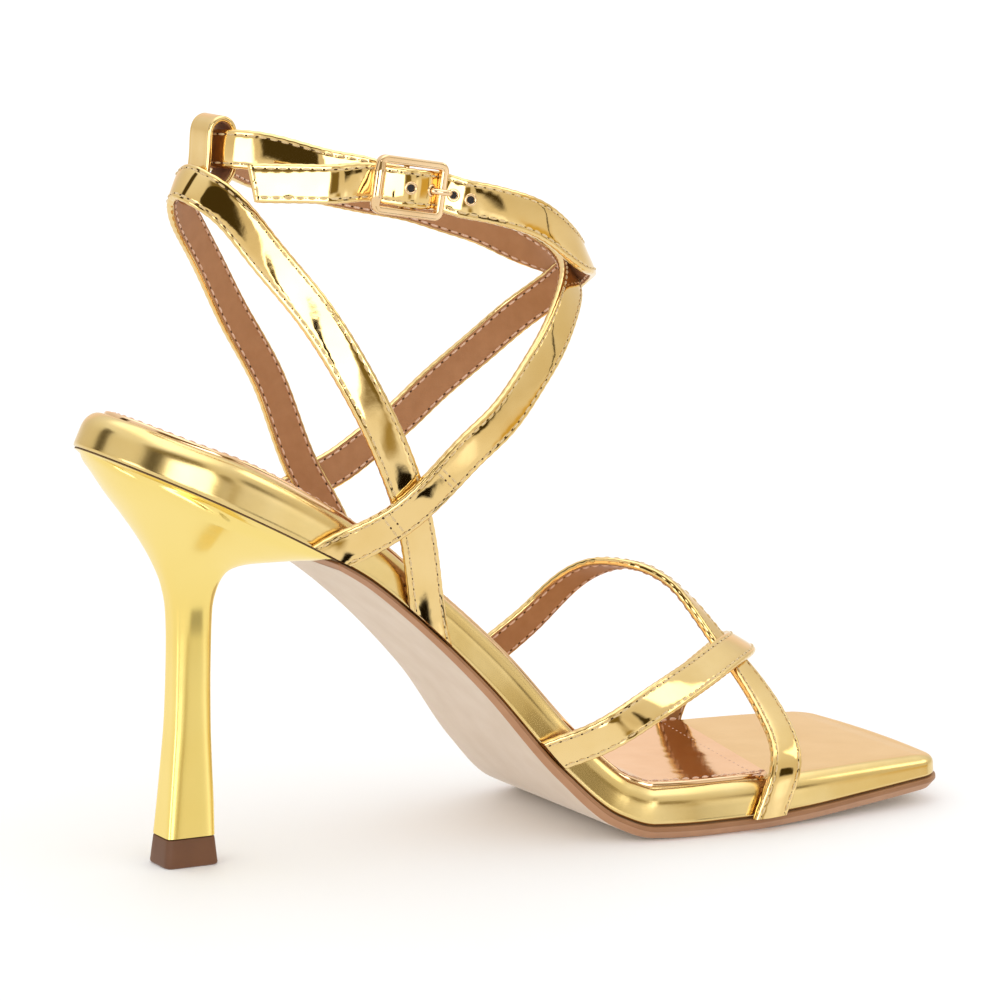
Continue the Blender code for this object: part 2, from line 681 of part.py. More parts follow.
def make_heel():
    """Build the slim heel, from its tip up to the seat under the rim."""
    rows, columns = 15, 7
    rings = [heel_ring(rows, columns, dict(zip(HEEL_COLUMNS, row))) for row in HEEL_SECTIONS]
    flat, along = outline(rows, columns, SEAT_INSET, front=(SEAT_END, SEAT_END), corner=0.0, bow=0.0)
    rings.append(ring_on_bed(flat, 0.0))
    return solid_from_rings("heel", rings, rows, columns, HEEL_GOLD)


def make_heel_tip():
    """Build the worn-side top piece under the heel."""
    rows, columns = 9, 5
    first = dict(zip(HEEL_COLUMNS, HEEL_SECTIONS[0]))
    rings = []
    for rise, grow in ((0.0, 1.06), (0.35 * MM, 1.10), (TIP_HEIGHT, 1.0)):
        section = dict(first, back_rise=rise / HEEL_RISE, front_rise=rise / HEEL_RISE)
        for key in ("back", "front", "half"):
            section[key] = first[key] * grow
        rings.append(heel_ring(rows, columns, section))
    return solid_from_rings("heel_tip", rings, rows, columns, TIP_BROWN)


def make_loop():
    """Build the folded tab at the back that the ankle strap passes through."""
    points = np.array([(ahead, 0.0, up) for ahead, up in LOOP_PATH]) * HEEL_RISE
    points[:, 0] += LOOP_STANDS_AT
    line = spline(np.concatenate([points, points[:1]]), 3)[:-1]
    tangent = np.roll(line, -1, axis=0) - np.roll(line, 1, axis=0)
    tangent /= np.linalg.norm(tangent, axis=1)[:, None]
    across = np.tile([0.0, 1.0, 0.0], (len(line), 1))
    outward = np.cross(tangent, across)
    return sweep(
        "back_loop", line, across, outward, LOOP_WIDTH / 2, LOOP_THICKNESS / 2, 0.3 * MM, GOLD_FOIL, closed=True
    )


def make_buckle():
    """Build the rectangular frame with its dipped centre bar."""
    half_l, half_h = BUCKLE_LENGTH / 2 - BUCKLE_BAR, BUCKLE_HEIGHT / 2 - BUCKLE_BAR
    corners = []
    for sx, sz, start in ((1, 1, 0), (-1, 1, 90), (-1, -1, 180), (1, -1, 270)):
        for turn in np.radians(np.linspace(start, start + 90, 4)):
            corners.append((
                sx * (half_l - BUCKLE_CORNER) + BUCKLE_CORNER * math.cos(turn),
                sz * (half_h - BUCKLE_CORNER) + BUCKLE_CORNER * math.sin(turn),
            ))
    ring = [buckle_point(a, u, 0.0) for a, u in corners]
    frame = rod("buckle_frame", ring, BUCKLE_BAR, 8, BUCKLE_GOLD, closed=True)
    end_bar = rod("end_bar", [
        buckle_point(-half_l - 0.1 * MM, up, 0.35 * MM) for up in np.array([-0.88, -0.5, 0.5, 0.88]) * half_h
    ], [BUCKLE_BAR, END_BAR_SWELL * BUCKLE_BAR, END_BAR_SWELL * BUCKLE_BAR, BUCKLE_BAR], 8, BUCKLE_GOLD)
    boolean(frame, end_bar, "UNION")
    dip = [(1.0, 0.15), (1.0, 0.5), (0.985, 0.85), (0.93, 1.0), (0.0, 1.0)]
    staple = [buckle_point(0.0, share * half_h, -down * CENTRE_BAR_DIP) for share, down in dip]
    staple += [buckle_point(0.0, -share * half_h, -down * CENTRE_BAR_DIP) for share, down in dip[-2::-1]]
    bar = rod("centre_bar", staple, CENTRE_BAR, 8, BUCKLE_GOLD)
    boolean(frame, bar, "UNION")
    paint(frame, BUCKLE_GOLD)
    return frame


def make_prong():
    """Build the prong: a ring round the centre bar, out through the strap, onto the far bar."""
    centre = buckle_point(0.0, 0.0, -CENTRE_BAR_DIP)
    radius = CENTRE_BAR + GAP + PRONG_WIRE
    ring = []
    for turn in np.radians(np.linspace(0, 360, 13)[:-1]):
        ring.append(buckle_point(radius * math.cos(turn), 0.0, -CENTRE_BAR_DIP + radius * math.sin(turn)))
    loop = rod("buckle_prong", ring, PRONG_WIRE, 8, BUCKLE_GOLD, closed=True)
    path = [(1.2, -2.3), (3.4, -2.2), (4.6, -1.6), (5.7, 0.3), (6.7, 1.5), (8.4, 2.05), (9.9, 2.0), (10.9, 1.6)]
    line = np.array([(along, 0.0, out) for along, out in path]) * MM
    smooth = spline(line, 2)
    radii = np.interp(np.linspace(0, 1, len(smooth)), (0, 0.15, 0.85, 1), (PRONG_WIRE, PRONG, PRONG, PRONG_WIRE))
    shank = rod("shank", [buckle_point(*point) for point in smooth], radii, 8, BUCKLE_GOLD)
    boolean(loop, shank, "UNION")
    paint(loop, BUCKLE_GOLD)
    return loop


def punch(name, along, radius, depth):
    """Return a round cutter through the strap at a place along the buckle's frame."""
    line = [buckle_point(along, 0.0, depth), buckle_point(along, 0.0, -depth)]
    return rod(name, line, radius, 12, TIP_BROWN)


def make_ankle_straps():
    """Build the heel strap and the two crossing ankle straps as one joined piece."""
    straps = strap("ankle_straps", knots(HEEL_STRAP), ANKLE_STRAP_WIDTH)
    outer_knots = np.concatenate([knots(OUTER_STRAP), buckle_knots(HOOK_AT_BUCKLE)])
    outer = strap("outer_strap", outer_knots, ANKLE_STRAP_WIDTH)
    slot = sweep(
        "prong_slot",
        np.array([buckle_point(along, 0.0, -CENTRE_BAR_DIP) for along in (-PRONG_SLOT_BACK, PRONG_SLOT_FRONT)]),
        np.array([buckle_point(0, 1, 0) - buckle_point(0, 0, 0)] * 2),
        np.array([(0.0, -1.0, 0.0)] * 2),
        PRONG_SLOT_HALF, CUT_DEPTH, 0.1 * PRONG_SLOT_HALF, TIP_BROWN,
    )
    boolean(outer, slot, "DIFFERENCE")
    inner_knots = np.concatenate([knots(INNER_STRAP), buckle_knots(TAIL_AT_BUCKLE), knots(INNER_STRAP_TAIL)])
    inner = strap("inner_strap", inner_knots, ANKLE_STRAP_WIDTH)
    boolean(inner, punch("prong_hole", PRONG_HOLE_AT, PRONG_HOLE, CUT_DEPTH), "DIFFERENCE")
    boolean(straps, outer, "UNION")
    boolean(straps, inner, "UNION")
    boolean(straps, below_bed(), "DIFFERENCE")
    paint(straps, GOLD_FOIL)
    return straps


def make_toe_straps():
    """Build the two crossing toe straps as one joined piece."""
    straps = strap("toe_straps", knots(TOE_UNDER_STRAP), TOE_STRAP_WIDTH, steps=3)
    over = strap("over_strap", knots(TOE_OVER_STRAP), TOE_STRAP_WIDTH, steps=3)
    boolean(straps, over, "UNION")
    boolean(straps, below_bed(), "DIFFERENCE")
    paint(straps, GOLD_FOIL)
    return straps


make_outsole()
make_rim()
make_sock()
make_heel()
make_heel_tip()
make_ankle_straps()
make_toe_straps()
make_loop()
make_buckle()
make_prong()
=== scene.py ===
"""Strappy heeled sandal for the right foot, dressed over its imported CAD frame.

+X points to the toe, +Y to the inner side of the foot and +Z up, in metres.
The origin is the middle of the heel's print on the floor.
"""

import logging
import math
from dataclasses import dataclass
from enum import Enum

import bmesh
import bpy
import numpy as np
from mathutils import Matrix


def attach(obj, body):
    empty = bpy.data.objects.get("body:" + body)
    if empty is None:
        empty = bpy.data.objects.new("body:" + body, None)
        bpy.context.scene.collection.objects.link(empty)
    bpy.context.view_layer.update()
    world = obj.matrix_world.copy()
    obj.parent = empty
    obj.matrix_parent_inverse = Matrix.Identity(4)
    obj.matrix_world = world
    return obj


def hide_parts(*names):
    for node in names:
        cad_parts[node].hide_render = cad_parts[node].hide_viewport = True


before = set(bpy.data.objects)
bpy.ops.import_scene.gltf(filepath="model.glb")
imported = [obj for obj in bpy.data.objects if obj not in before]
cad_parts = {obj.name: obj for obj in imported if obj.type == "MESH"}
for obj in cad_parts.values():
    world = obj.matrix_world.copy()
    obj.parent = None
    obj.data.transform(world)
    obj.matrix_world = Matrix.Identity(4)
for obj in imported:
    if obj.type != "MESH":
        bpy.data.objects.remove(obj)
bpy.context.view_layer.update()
LOG = logging.getLogger("sandal")
Array = np.ndarray
Layers = tuple[tuple[float, float], ...]
MM = 0.001
TOUCH = 1e-9
CREASE_DEGREES = 40.0

SHOE_LENGTH = 224.5 * MM
HEEL_BACK = -26.5 * MM
BALL_WIDTH = 71 * MM
HEEL_RISE = 101.5 * MM
GAP = 0.3 * MM
STRAP_THICKNESS = 1.8 * MM
BUCKLE_LENGTH = 18.6 * MM
BUCKLE_HEIGHT = 13.6 * MM
BUCKLE_SLOPE = math.radians(8.8)
BUCKLE_MIDDLE = np.array([HEEL_BACK + 0.302 * SHOE_LENGTH, -0.4563 * BALL_WIDTH, 1.589 * HEEL_RISE])
LOOP_STANDS_AT = HEEL_BACK + 0.118 * SHOE_LENGTH

# The bed is the top of the outsole. Along is the share of SHOE_LENGTH from the heel's back,
# rise the share of HEEL_RISE, outer and inner the half widths as shares of BALL_WIDTH,
# sole and rim the shares of the outsole's and the platform's thickness.
BED_COLUMNS = ("along", "rise", "outer", "inner", "sole", "rim")
BED_ROWS = (
    (0.000, 0.991, 0.338, 0.338, 0.47, 1.06),
    (0.053, 0.937, 0.349, 0.349, 0.47, 1.08),
    (0.133, 0.852, 0.358, 0.358, 0.47, 1.17),
    (0.233, 0.739, 0.338, 0.330, 0.47, 1.07),
    (0.283, 0.676, 0.318, 0.314, 0.48, 0.95),
    (0.333, 0.592, 0.303, 0.304, 0.50, 0.89),
    (0.433, 0.384, 0.317, 0.338, 0.56, 0.97),
    (0.512, 0.179, 0.380, 0.408, 0.69, 1.00),
    (0.572, 0.064, 0.437, 0.459, 0.84, 1.00),
    (0.612, 0.035, 0.465, 0.487, 0.94, 1.00),
    (0.672, 0.032, 0.489, 0.507, 1.00, 1.00),
    (0.732, 0.032, 0.494, 0.513, 1.00, 0.99),
    (0.792, 0.038, 0.490, 0.510, 1.00, 0.94),
    (0.891, 0.053, 0.459, 0.482, 1.00, 0.78),
    (1.000, 0.068, 0.408, 0.444, 0.94, 0.56),
)

# Rows of a strap's middle line: along, side (share of BALL_WIDTH, inner side positive),
# rise, and where its face looks: face is degrees round from the toe, tilt degrees up.
STRAP_COLUMNS = ("along", "side", "rise", "face", "tilt")
HEEL_STRAP = (
    (0.364, -0.322, 0.470, -90, 0),
    (0.354, -0.324, 0.560, -90, 0),
    (0.339, -0.350, 0.712, -90, -8),
    (0.322, -0.386, 0.830, -90, -8),
    (0.304, -0.404, 0.925, -92, -5),
    (0.281, -0.404, 1.035, -97, 2),
    (0.249, -0.373, 1.174, -108, 8),
    (0.211, -0.319, 1.315, -120, 12),
    (0.169, -0.239, 1.445, -132, 17),
    (0.134, -0.145, 1.553, -150, 24),
    (0.117, -0.075, 1.584, -170, 29),
    (0.115, 0.000, 1.588, -180, 30),
    (0.119, 0.075, 1.566, -192, 28),
    (0.131, 0.130, 1.527, -214, 23),
    (0.162, 0.224, 1.450, -230, 17),
    (0.193, 0.288, 1.360, -240, 12),
    (0.229, 0.335, 1.236, -251, 8),
    (0.274, 0.363, 1.080, -262, 2),
    (0.312, 0.340, 0.861, -270, -4),
    (0.331, 0.330, 0.785, -270, -3),
    (0.351, 0.327, 0.700, -270, 0),
    (0.367, 0.328, 0.600, -270, 0),
    (0.380, 0.336, 0.480, -270, 0),
    (0.392, 0.345, 0.380, -270, 0),
)
OUTER_STRAP = (
    (0.123, -0.380, 0.620, -90, 0),
    (0.183, -0.370, 0.690, -90, 0),
    (0.228, -0.360, 0.745, -90, 0),
    (0.263, -0.370, 0.775, -90, -4),
    (0.296, -0.403, 0.815, -89, -8),
    (0.323, -0.425, 0.861, -88, -6),
    (0.353, -0.433, 0.920, -87, -2),
    (0.385, -0.431, 0.981, -85, 2),
    (0.418, -0.414, 1.031, -82, 6),
    (0.466, -0.364, 1.127, -74, 12),
    (0.502, -0.300, 1.199, -66, 18),
    (0.534, -0.215, 1.268, -52, 25),
    (0.559, -0.115, 1.312, -34, 32),
    (0.576, -0.010, 1.334, -10, 36),
    (0.584, 0.075, 1.344, 14, 34),
    (0.583, 0.150, 1.354, 36, 28),
    (0.565, 0.262, 1.380, 58, 18),
    (0.535, 0.340, 1.419, 72, 12),
    (0.496, 0.394, 1.451, 80, 8),
    (0.456, 0.420, 1.480, 87, 6),
    (0.408, 0.429, 1.502, 93, 5),
    (0.346, 0.414, 1.532, 100, 4),
    (0.281, 0.363, 1.565, 112, 3),
    (0.242, 0.307, 1.590, 124, 3),
    (0.188, 0.180, 1.632, 142, 4),
    (0.155, 0.075, 1.655, 165, 5),
    (0.150, 0.000, 1.662, 180, 5),
    (0.155, -0.075, 1.665, 197, 5),
    (0.173, -0.150, 1.664, 222, 5),
    (0.204, -0.240, 1.647, 236, 4),
    (0.238, -0.320, 1.625, 252, 3),
)
INNER_STRAP = (
    (0.123, 0.392, 0.640, 90, 0),
    (0.198, 0.360, 0.705, 90, 0),
    (0.252, 0.345, 0.755, 90, 0),
    (0.283, 0.338, 0.790, 90, -2),
    (0.307, 0.342, 0.815, 90, -5),
    (0.333, 0.356, 0.838, 90, -7),
    (0.362, 0.374, 0.862, 90, -8),
    (0.399, 0.395, 0.905, 86, -4),
    (0.442, 0.408, 0.962, 80, 2),
    (0.477, 0.404, 1.025, 74, 6),
    (0.534, 0.360, 1.132, 60, 14),
    (0.568, 0.285, 1.213, 46, 22),
    (0.585, 0.205, 1.262, 34, 28),
    (0.591, 0.110, 1.304, 16, 33),
    (0.588, 0.010, 1.340, -6, 36),
    (0.578, -0.095, 1.366, -26, 33),
    (0.561, -0.200, 1.385, -44, 27),
    (0.539, -0.290, 1.402, -58, 21),
    (0.503, -0.365, 1.449, -69, 14),
    (0.459, -0.420, 1.503, -79, 9),
    (0.422, -0.440, 1.530, -84, 6),
    (0.389, -0.446, 1.548, -88, 4),
    (0.364, -0.440, 1.560, -90, 1),
)
INNER_STRAP_TAIL = (
    (0.228, -0.425, 1.602, -96, 4),
    (0.197, -0.402, 1.603, -104, 7),
    (0.169, -0.368, 1.604, -114, 8),
    (0.143, -0.327, 1.605, -124, 8),
)

# Rows of a strap's middle line at the buckle, from the buckle's middle: ahead is a share of
# BUCKLE_LENGTH, up of BUCKLE_HEIGHT and out of STRAP_THICKNESS.
AT_BUCKLE_COLUMNS = ("ahead", "up", "out", "face", "tilt")
HOOK_AT_BUCKLE = (
    (-0.412, 0.077, -3.88, 264, 1),
    (-0.185, 0.019, -2.86, 268, 0),
    (0.000, -0.001, -2.50, 264, 0),
    (0.076, -0.024, -2.22, 236, 0),
    (0.125, -0.028, -1.43, 185, 0),
    (0.114, -0.038, -0.92, 180, 0),
)
TAIL_AT_BUCKLE = (
    (0.513, 0.001, -1.47, -90, 0),
    (0.268, 0.002, -0.25, -90, 0),
    (0.000, -0.001, 0.46, -90, 0),
    (-0.256, -0.003, -0.25, -90, 0),
    (-0.501, -0.001, -1.47, -92, 0),
)
TOE_UNDER_STRAP = (
    (0.442, 0.365, 0.080, 90, 0),
    (0.477, 0.400, 0.180, 90, 0),
    (0.510, 0.430, 0.258, 90, -2),
    (0.544, 0.441, 0.320, 90, 4),
    (0.578, 0.428, 0.378, 88, 9),
    (0.613, 0.405, 0.441, 84, 19),
    (0.643, 0.350, 0.520, 80, 36),
    (0.662, 0.268, 0.569, 69, 56),
    (0.682, 0.170, 0.589, 37, 75),
    (0.705, 0.085, 0.577, -8, 69),
    (0.725, 0.022, 0.540, -23, 49),
    (0.740, -0.036, 0.490, -36, 46),
    (0.758, -0.100, 0.420, -48, 43),
    (0.771, -0.185, 0.358, -62, 44),
    (0.778, -0.285, 0.298, -72, 50),
    (0.778, -0.390, 0.242, -80, 48),
    (0.774, -0.465, 0.198, -85, 32),
    (0.768, -0.503, 0.155, -90, 12),
    (0.761, -0.514, 0.115, -90, 0),
    (0.749, -0.516, 0.050, -90, 0),
    (0.737, -0.516, -0.020, -90, 0),
)
TOE_OVER_STRAP = (
    (0.454, -0.345, 0.185, -90, 0),
    (0.497, -0.387, 0.226, -90, -2),
    (0.527, -0.437, 0.254, -90, 0),
    (0.544, -0.465, 0.274, -88, 5),
    (0.588, -0.472, 0.320, -80, 20),
    (0.643, -0.408, 0.355, -68, 38),
    (0.707, -0.296, 0.383, -56, 52),
    (0.755, -0.197, 0.401, -50, 55),
    (0.791, -0.085, 0.398, -35, 58),
    (0.815, 0.056, 0.380, 0, 58),
    (0.826, 0.197, 0.338, 35, 52),
    (0.827, 0.352, 0.272, 55, 46),
    (0.823, 0.465, 0.207, 75, 28),
    (0.820, 0.512, 0.155, 88, 8),
    (0.815, 0.524, 0.100, 90, 0),
    (0.809, 0.524, 0.030, 90, 0),
    (0.802, 0.524, -0.040, 90, 0),
)

# Rows of the heel from the floor up, as shares of HEEL_RISE. Each section runs from a back
# point to a front point, and a higher square makes that half boxier.
HEEL_COLUMNS = ("back", "back_rise", "front", "front_rise", "half", "back_square", "front_square")
HEEL_SECTIONS = (
    (-0.062, 0.070, 0.062, 0.070, 0.048, 8, 8),
    (-0.056, 0.138, 0.062, 0.138, 0.045, 7, 7),
    (-0.048, 0.236, 0.059, 0.236, 0.042, 6, 6),
    (-0.041, 0.335, 0.057, 0.335, 0.040, 5, 5),
    (-0.038, 0.433, 0.057, 0.433, 0.039, 4.5, 4.5),
    (-0.037, 0.532, 0.059, 0.532, 0.040, 4, 4),
    (-0.040, 0.601, 0.062, 0.599, 0.044, 3.4, 3.4),
    (-0.052, 0.660, 0.074, 0.654, 0.055, 2.8, 3.2),
    (-0.074, 0.714, 0.096, 0.691, 0.075, 2.5, 3.4),
    (-0.105, 0.770, 0.133, 0.705, 0.106, 2.3, 3.9),
    (-0.145, 0.828, 0.178, 0.710, 0.144, 2.1, 4.6),
    (-0.186, 0.885, 0.223, 0.715, 0.183, 2.1, 5.4),
    (-0.223, 0.941, 0.256, 0.719, 0.215, 2, 7),
)

# The back loop's middle line: ahead of LOOP_STANDS_AT and up, as shares of HEEL_RISE.
LOOP_PATH = (
    (0.010, 1.548),
    (0.023, 1.576),
    (0.035, 1.615),
    (0.039, 1.655),
    (0.041, 1.695),
    (0.049, 1.721),
    (0.071, 1.733),
    (0.094, 1.722),
    (0.104, 1.689),
    (0.105, 1.645),
    (0.097, 1.606),
    (0.073, 1.578),
    (0.045, 1.555),
    (0.022, 1.537),
)

# The prong's middle line in millimetres: ahead of the centre bar, and out from the buckle's middle.
PRONG_PATH = (
    (1.2, -2.3),
    (3.4, -2.2),
    (4.6, -1.6),
    (5.7, 0.3),
    (6.7, 1.4),
    (8.2, 1.9),
    (9.4, 1.85),
    (10.1, 1.3),
)


class End(Enum):
    """How a strap ends."""

    TUCKED = "into the seam over the outsole"
    HOOKED = "folded round the buckle's centre bar"
    FREE = "cut on a slant"


class Face(Enum):
    """The two faces of a strap, and which way each looks along the strap's outward direction."""

    OUTSIDE = 1.0
    LINING = -1.0


def srgb(code: str) -> tuple[float, float, float, float]:
    """Turn an sRGB hex colour to the linear colour that a shader takes.

    Args:
        code: six hex digits after a hash.

    Returns:
        Linear red, green and blue, and an alpha of 1.
    """
    parts = np.array([int(code[i : i + 2], 16) for i in (1, 3, 5)]) / 255
    linear = np.where(parts <= 0.04045, parts / 12.92, ((parts + 0.055) / 1.055) ** 2.4)
    return (*map(float, linear), 1.0)


def add_node(tree: bpy.types.NodeTree, kind: str, inputs: dict | None = None, **settings) -> bpy.types.Node:
    """Add one shader node with its settings and links.

    Args:
        tree: the node tree that gets the node.
        kind: the node's type.
        inputs: values, or the output sockets that feed them, by input name or place.
        settings: the node's own properties.

    Returns:
        The new node.
    """
    node = tree.nodes.new(kind)
    for key, value in settings.items():
        setattr(node, key, value)
    for key, value in (inputs or {}).items():
        if isinstance(value, bpy.types.NodeSocket):
            tree.links.new(value, node.inputs[key])
        else:
            node.inputs[key].default_value = value
    return node


def set_inputs(node: bpy.types.Node, values: dict[str, float | tuple]) -> None:
    """Set a node's inputs by name."""
    for name, value in values.items():
        node.inputs[name].default_value = value


def work_out(
    tree: bpy.types.NodeTree, operation: str, *values: bpy.types.NodeSocket | float
) -> bpy.types.NodeSocket:
    """Add one maths node.

    Args:
        tree: the node tree that gets the node.
        operation: what the node works out.
        values: its inputs in order.

    Returns:
        The output with the result.
    """
    node = add_node(tree, "ShaderNodeMath", dict(enumerate(values)), operation=operation)
    return node.outputs["Value"]


def per_metre(size_mm: float) -> float:
    """Return the texture scale whose features are about this many millimetres apart."""
    return 1 / (size_mm * MM)


@dataclass(frozen=True)
class Finish:
    """A surface finish, made into a material once and then shared.

    Name is the material and its surface, colour its main tone and shade its deeper tone. Each
    kind of finish sets PATCH_MM, how far apart its soft patches are.
    """

    name: str
    colour: str
    shade: str

    def material(self) -> bpy.types.Material:
        """Return this finish's material, and make it the first time.

        Returns:
            The material.
        """
        found = bpy.data.materials.get(self.name)
        if found is not None:
            return found
        made = bpy.data.materials.new(self.name)
        made.use_nodes = True
        made.diffuse_color = srgb(self.colour)
        self.dress(made.node_tree, made.node_tree.nodes["Principled BSDF"])
        return made

    def mottle(self, tree: bpy.types.NodeTree, shader: bpy.types.Node, size_mm: float) -> None:
        """Colour the shader with soft patches between the shade and the colour.

        Args:
            tree: the material's node tree.
            shader: its Principled shader.
            size_mm: how far apart the patches are.
        """
        where = add_node(tree, "ShaderNodeTexCoord")
        noise = add_node(
            tree, "ShaderNodeTexNoise",
            {"Vector": where.outputs["Object"], "Scale": per_metre(size_mm), "Detail": 3.0},
        )
        ramp = add_node(tree, "ShaderNodeValToRGB", {"Fac": noise.outputs["Fac"]})
        low, high = ramp.color_ramp.elements
        low.position, low.color = 0.32, srgb(self.shade)
        high.position, high.color = 0.68, srgb(self.colour)
        tree.links.new(ramp.outputs["Color"], shader.inputs["Base Color"])

    def relief(self, tree: bpy.types.NodeTree, shader: bpy.types.Node, layers: Layers) -> None:
        """Give the shader a bump made of noise layers, each on top of the one before.

        Args:
            tree: the material's node tree.
            shader: its Principled shader.
            layers: pairs of feature size and height, both in millimetres.
        """
        where = add_node(tree, "ShaderNodeTexCoord")
        below = None
        for size_mm, height_mm in layers:
            noise = add_node(
                tree, "ShaderNodeTexNoise",
                {"Vector": where.outputs["Object"], "Scale": per_metre(size_mm), "Detail": 1.5},
            )
            feed = {"Height": noise.outputs["Fac"], "Distance": height_mm * MM, "Strength": 1.0}
            if below is not None:
                feed["Normal"] = below.outputs["Normal"]
            below = add_node(tree, "ShaderNodeBump", feed)
        tree.links.new(below.outputs["Normal"], shader.inputs["Normal"])

    def layers(self) -> Layers:
        """Return the layers of the bump; each kind of finish has its own."""
        raise NotImplementedError

    def settings(self) -> dict[str, float]:
        """Return the shader's settings by name; each kind of finish has its own."""
        raise NotImplementedError

    def dress(self, tree: bpy.types.NodeTree, shader: bpy.types.Node) -> None:
        """Set up the material's nodes: soft patches, the bump and the shader's settings.

        Args:
            tree: the material's node tree.
            shader: its Principled shader.
        """
        self.mottle(tree, shader, self.PATCH_MM)
        self.relief(tree, shader, self.layers())
        set_inputs(shader, self.settings())


@dataclass(frozen=True)
class MirrorFoil(Finish):
    """Polyurethane synthetic leather under a heat-pressed metal foil.

    To the eye it is a coloured mirror that waves a little over the backing.
    """

    PATCH_MM = 14.0

    roughness: float
    wave_mm: float
    wave_height_mm: float

    def layers(self) -> Layers:
        """Return slow waves, with a faint grain in two sizes over them."""
        return ((self.wave_mm, self.wave_height_mm), (3.0, 0.014), (0.6, 0.0015))

    def settings(self) -> dict[str, float]:
        """Return a coloured mirror under a thin clear film."""
        return {"Metallic": 1.0, "Roughness": self.roughness, "Coat Weight": 0.15, "Coat Roughness": 0.04}


@dataclass(frozen=True)
class PlatedPlastic(Finish):
    """Moulded ABS with bright electroplating: a smooth coloured mirror with slight mould waves."""

    PATCH_MM = 40.0

    roughness: float

    def layers(self) -> Layers:
        """Return long mould waves and a trace of texture."""
        return ((22.0, 0.06), (0.9, 0.0008))

    def settings(self) -> dict[str, float]:
        """Return a clean coloured mirror."""
        return {"Metallic": 1.0, "Roughness": self.roughness}


@dataclass(frozen=True)
class LiningLeather(Finish):
    """Coated microfibre lining with a printed pigskin grain: matt tan with fine pores."""

    PATCH_MM = 3.2

    def layers(self) -> Layers:
        """Return a fine grain over a coarser one."""
        return ((2.4, 0.03), (0.7, 0.02))

    def settings(self) -> dict[str, float]:
        """Return a matt skin with a trace of sheen."""
        return {"Roughness": 0.58, "Sheen Weight": 0.12, "Sheen Roughness": 0.4}


@dataclass(frozen=True)
class SpunThread(Finish):
    """Spun polyester sewing thread: soft and pale, with a twist too fine to show one by one."""

    PATCH_MM = 0.8

    def layers(self) -> Layers:
        """Return a fibre bump, coarser than the real twist so that it shows."""
        return ((0.25, 0.02),)

    def settings(self) -> dict[str, float]:
        """Return a soft thread."""
        return {"Roughness": 0.62, "Sheen Weight": 0.25}


@dataclass(frozen=True)
class MouldedRubber(Finish):
    """Thermoplastic rubber, moulded and trimmed: satin with a fine even grain."""

    PATCH_MM = 9.0

    roughness: float
    grain_mm: float
    grain_height_mm: float

    def layers(self) -> Layers:
        """Return the mould's grain over one six times as coarse."""
        return tuple((self.grain_mm * times, self.grain_height_mm) for times in (6, 1))

    def settings(self) -> dict[str, float]:
        """Return a dull or satin skin."""
        return {"Roughness": self.roughness}


@dataclass(frozen=True)
class PlatedMetal(Finish):
    """Die-cast zinc with polished rose-gold plating: a pale warm mirror with soft cast waves."""

    PATCH_MM = 6.0

    roughness: float

    def layers(self) -> Layers:
        """Return the slight waves of a cast part."""
        return ((3.5, 0.012),)

    def settings(self) -> dict[str, float]:
        """Return a polished mirror."""
        return {"Metallic": 1.0, "Roughness": self.roughness}


STRAP_FOIL = MirrorFoil("foil_leather_mirror_gold", "#ecd094", "#e5c684", 0.05, 9.0, 0.10)
WRAP_FOIL = MirrorFoil("foil_leather_platform_wrap", "#e6cd90", "#e0c480", 0.20, 22.0, 0.14)
SOCK_FOIL = MirrorFoil("foil_leather_sock_rosy_gold", "#efcda6", "#e8c297", 0.09, 12.0, 0.16)
HEEL_PLATING = PlatedPlastic("abs_plated_yellow_gold", "#f8e290", "#f4da80", 0.20)
LINING = LiningLeather("microfibre_lining_tan", "#b27c4e", "#aa7446")
GOLD_THREAD = SpunThread("polyester_thread_gold", "#e2c794", "#cfb078")
LINING_THREAD = SpunThread("polyester_thread_pale_rose", "#ecc9ae", "#dcb090")
NEEDLE_HOLE = MouldedRubber("needle_hole_shade", "#4f3218", "#3f2712", 0.8, 0.4, 0.005)
# Painted seam shade: this dark brown stands for the insole board's own edge and for the shade in the seam
# under the wrap.
BOARD_EDGE_AND_SEAM_SHADE = MouldedRubber("board_edge_painted_seam_shade_brown", "#7a5c38", "#6c4f2e", 0.8, 0.4, 0.005)
SOLE_EDGE = MouldedRubber("rubber_edge_painted_brown", "#a07048", "#93643e", 0.42, 0.35, 0.01)
SOLE_BEVEL = MouldedRubber("rubber_bevel_rose_beige", "#bb8b66", "#b2815c", 0.5, 0.35, 0.01)
SOLE_UNDER = MouldedRubber("rubber_outsole_beige", "#dfccb8", "#d8c3ad", 0.5, 0.6, 0.012)
TIP_RUBBER = MouldedRubber("rubber_heel_tip_brown", "#6f4526", "#653d20", 0.5, 0.5, 0.008)
BUCKLE_PLATING = PlatedMetal("zinc_plated_rose_gold", "#f3d6ad", "#ebca9c", 0.10)
HOLE_DARK = MouldedRubber("punched_hole_shade", "#241c1a", "#171112", 0.7, 0.4, 0.005)
STRAP_FINISHES = [STRAP_FOIL, LINING]


def columns_of(names: tuple[str, ...], rows: tuple) -> dict[str, Array]:
    """Return a dict from column name to its numpy column."""
    return dict(zip(names, np.array(rows, dtype=float).T))


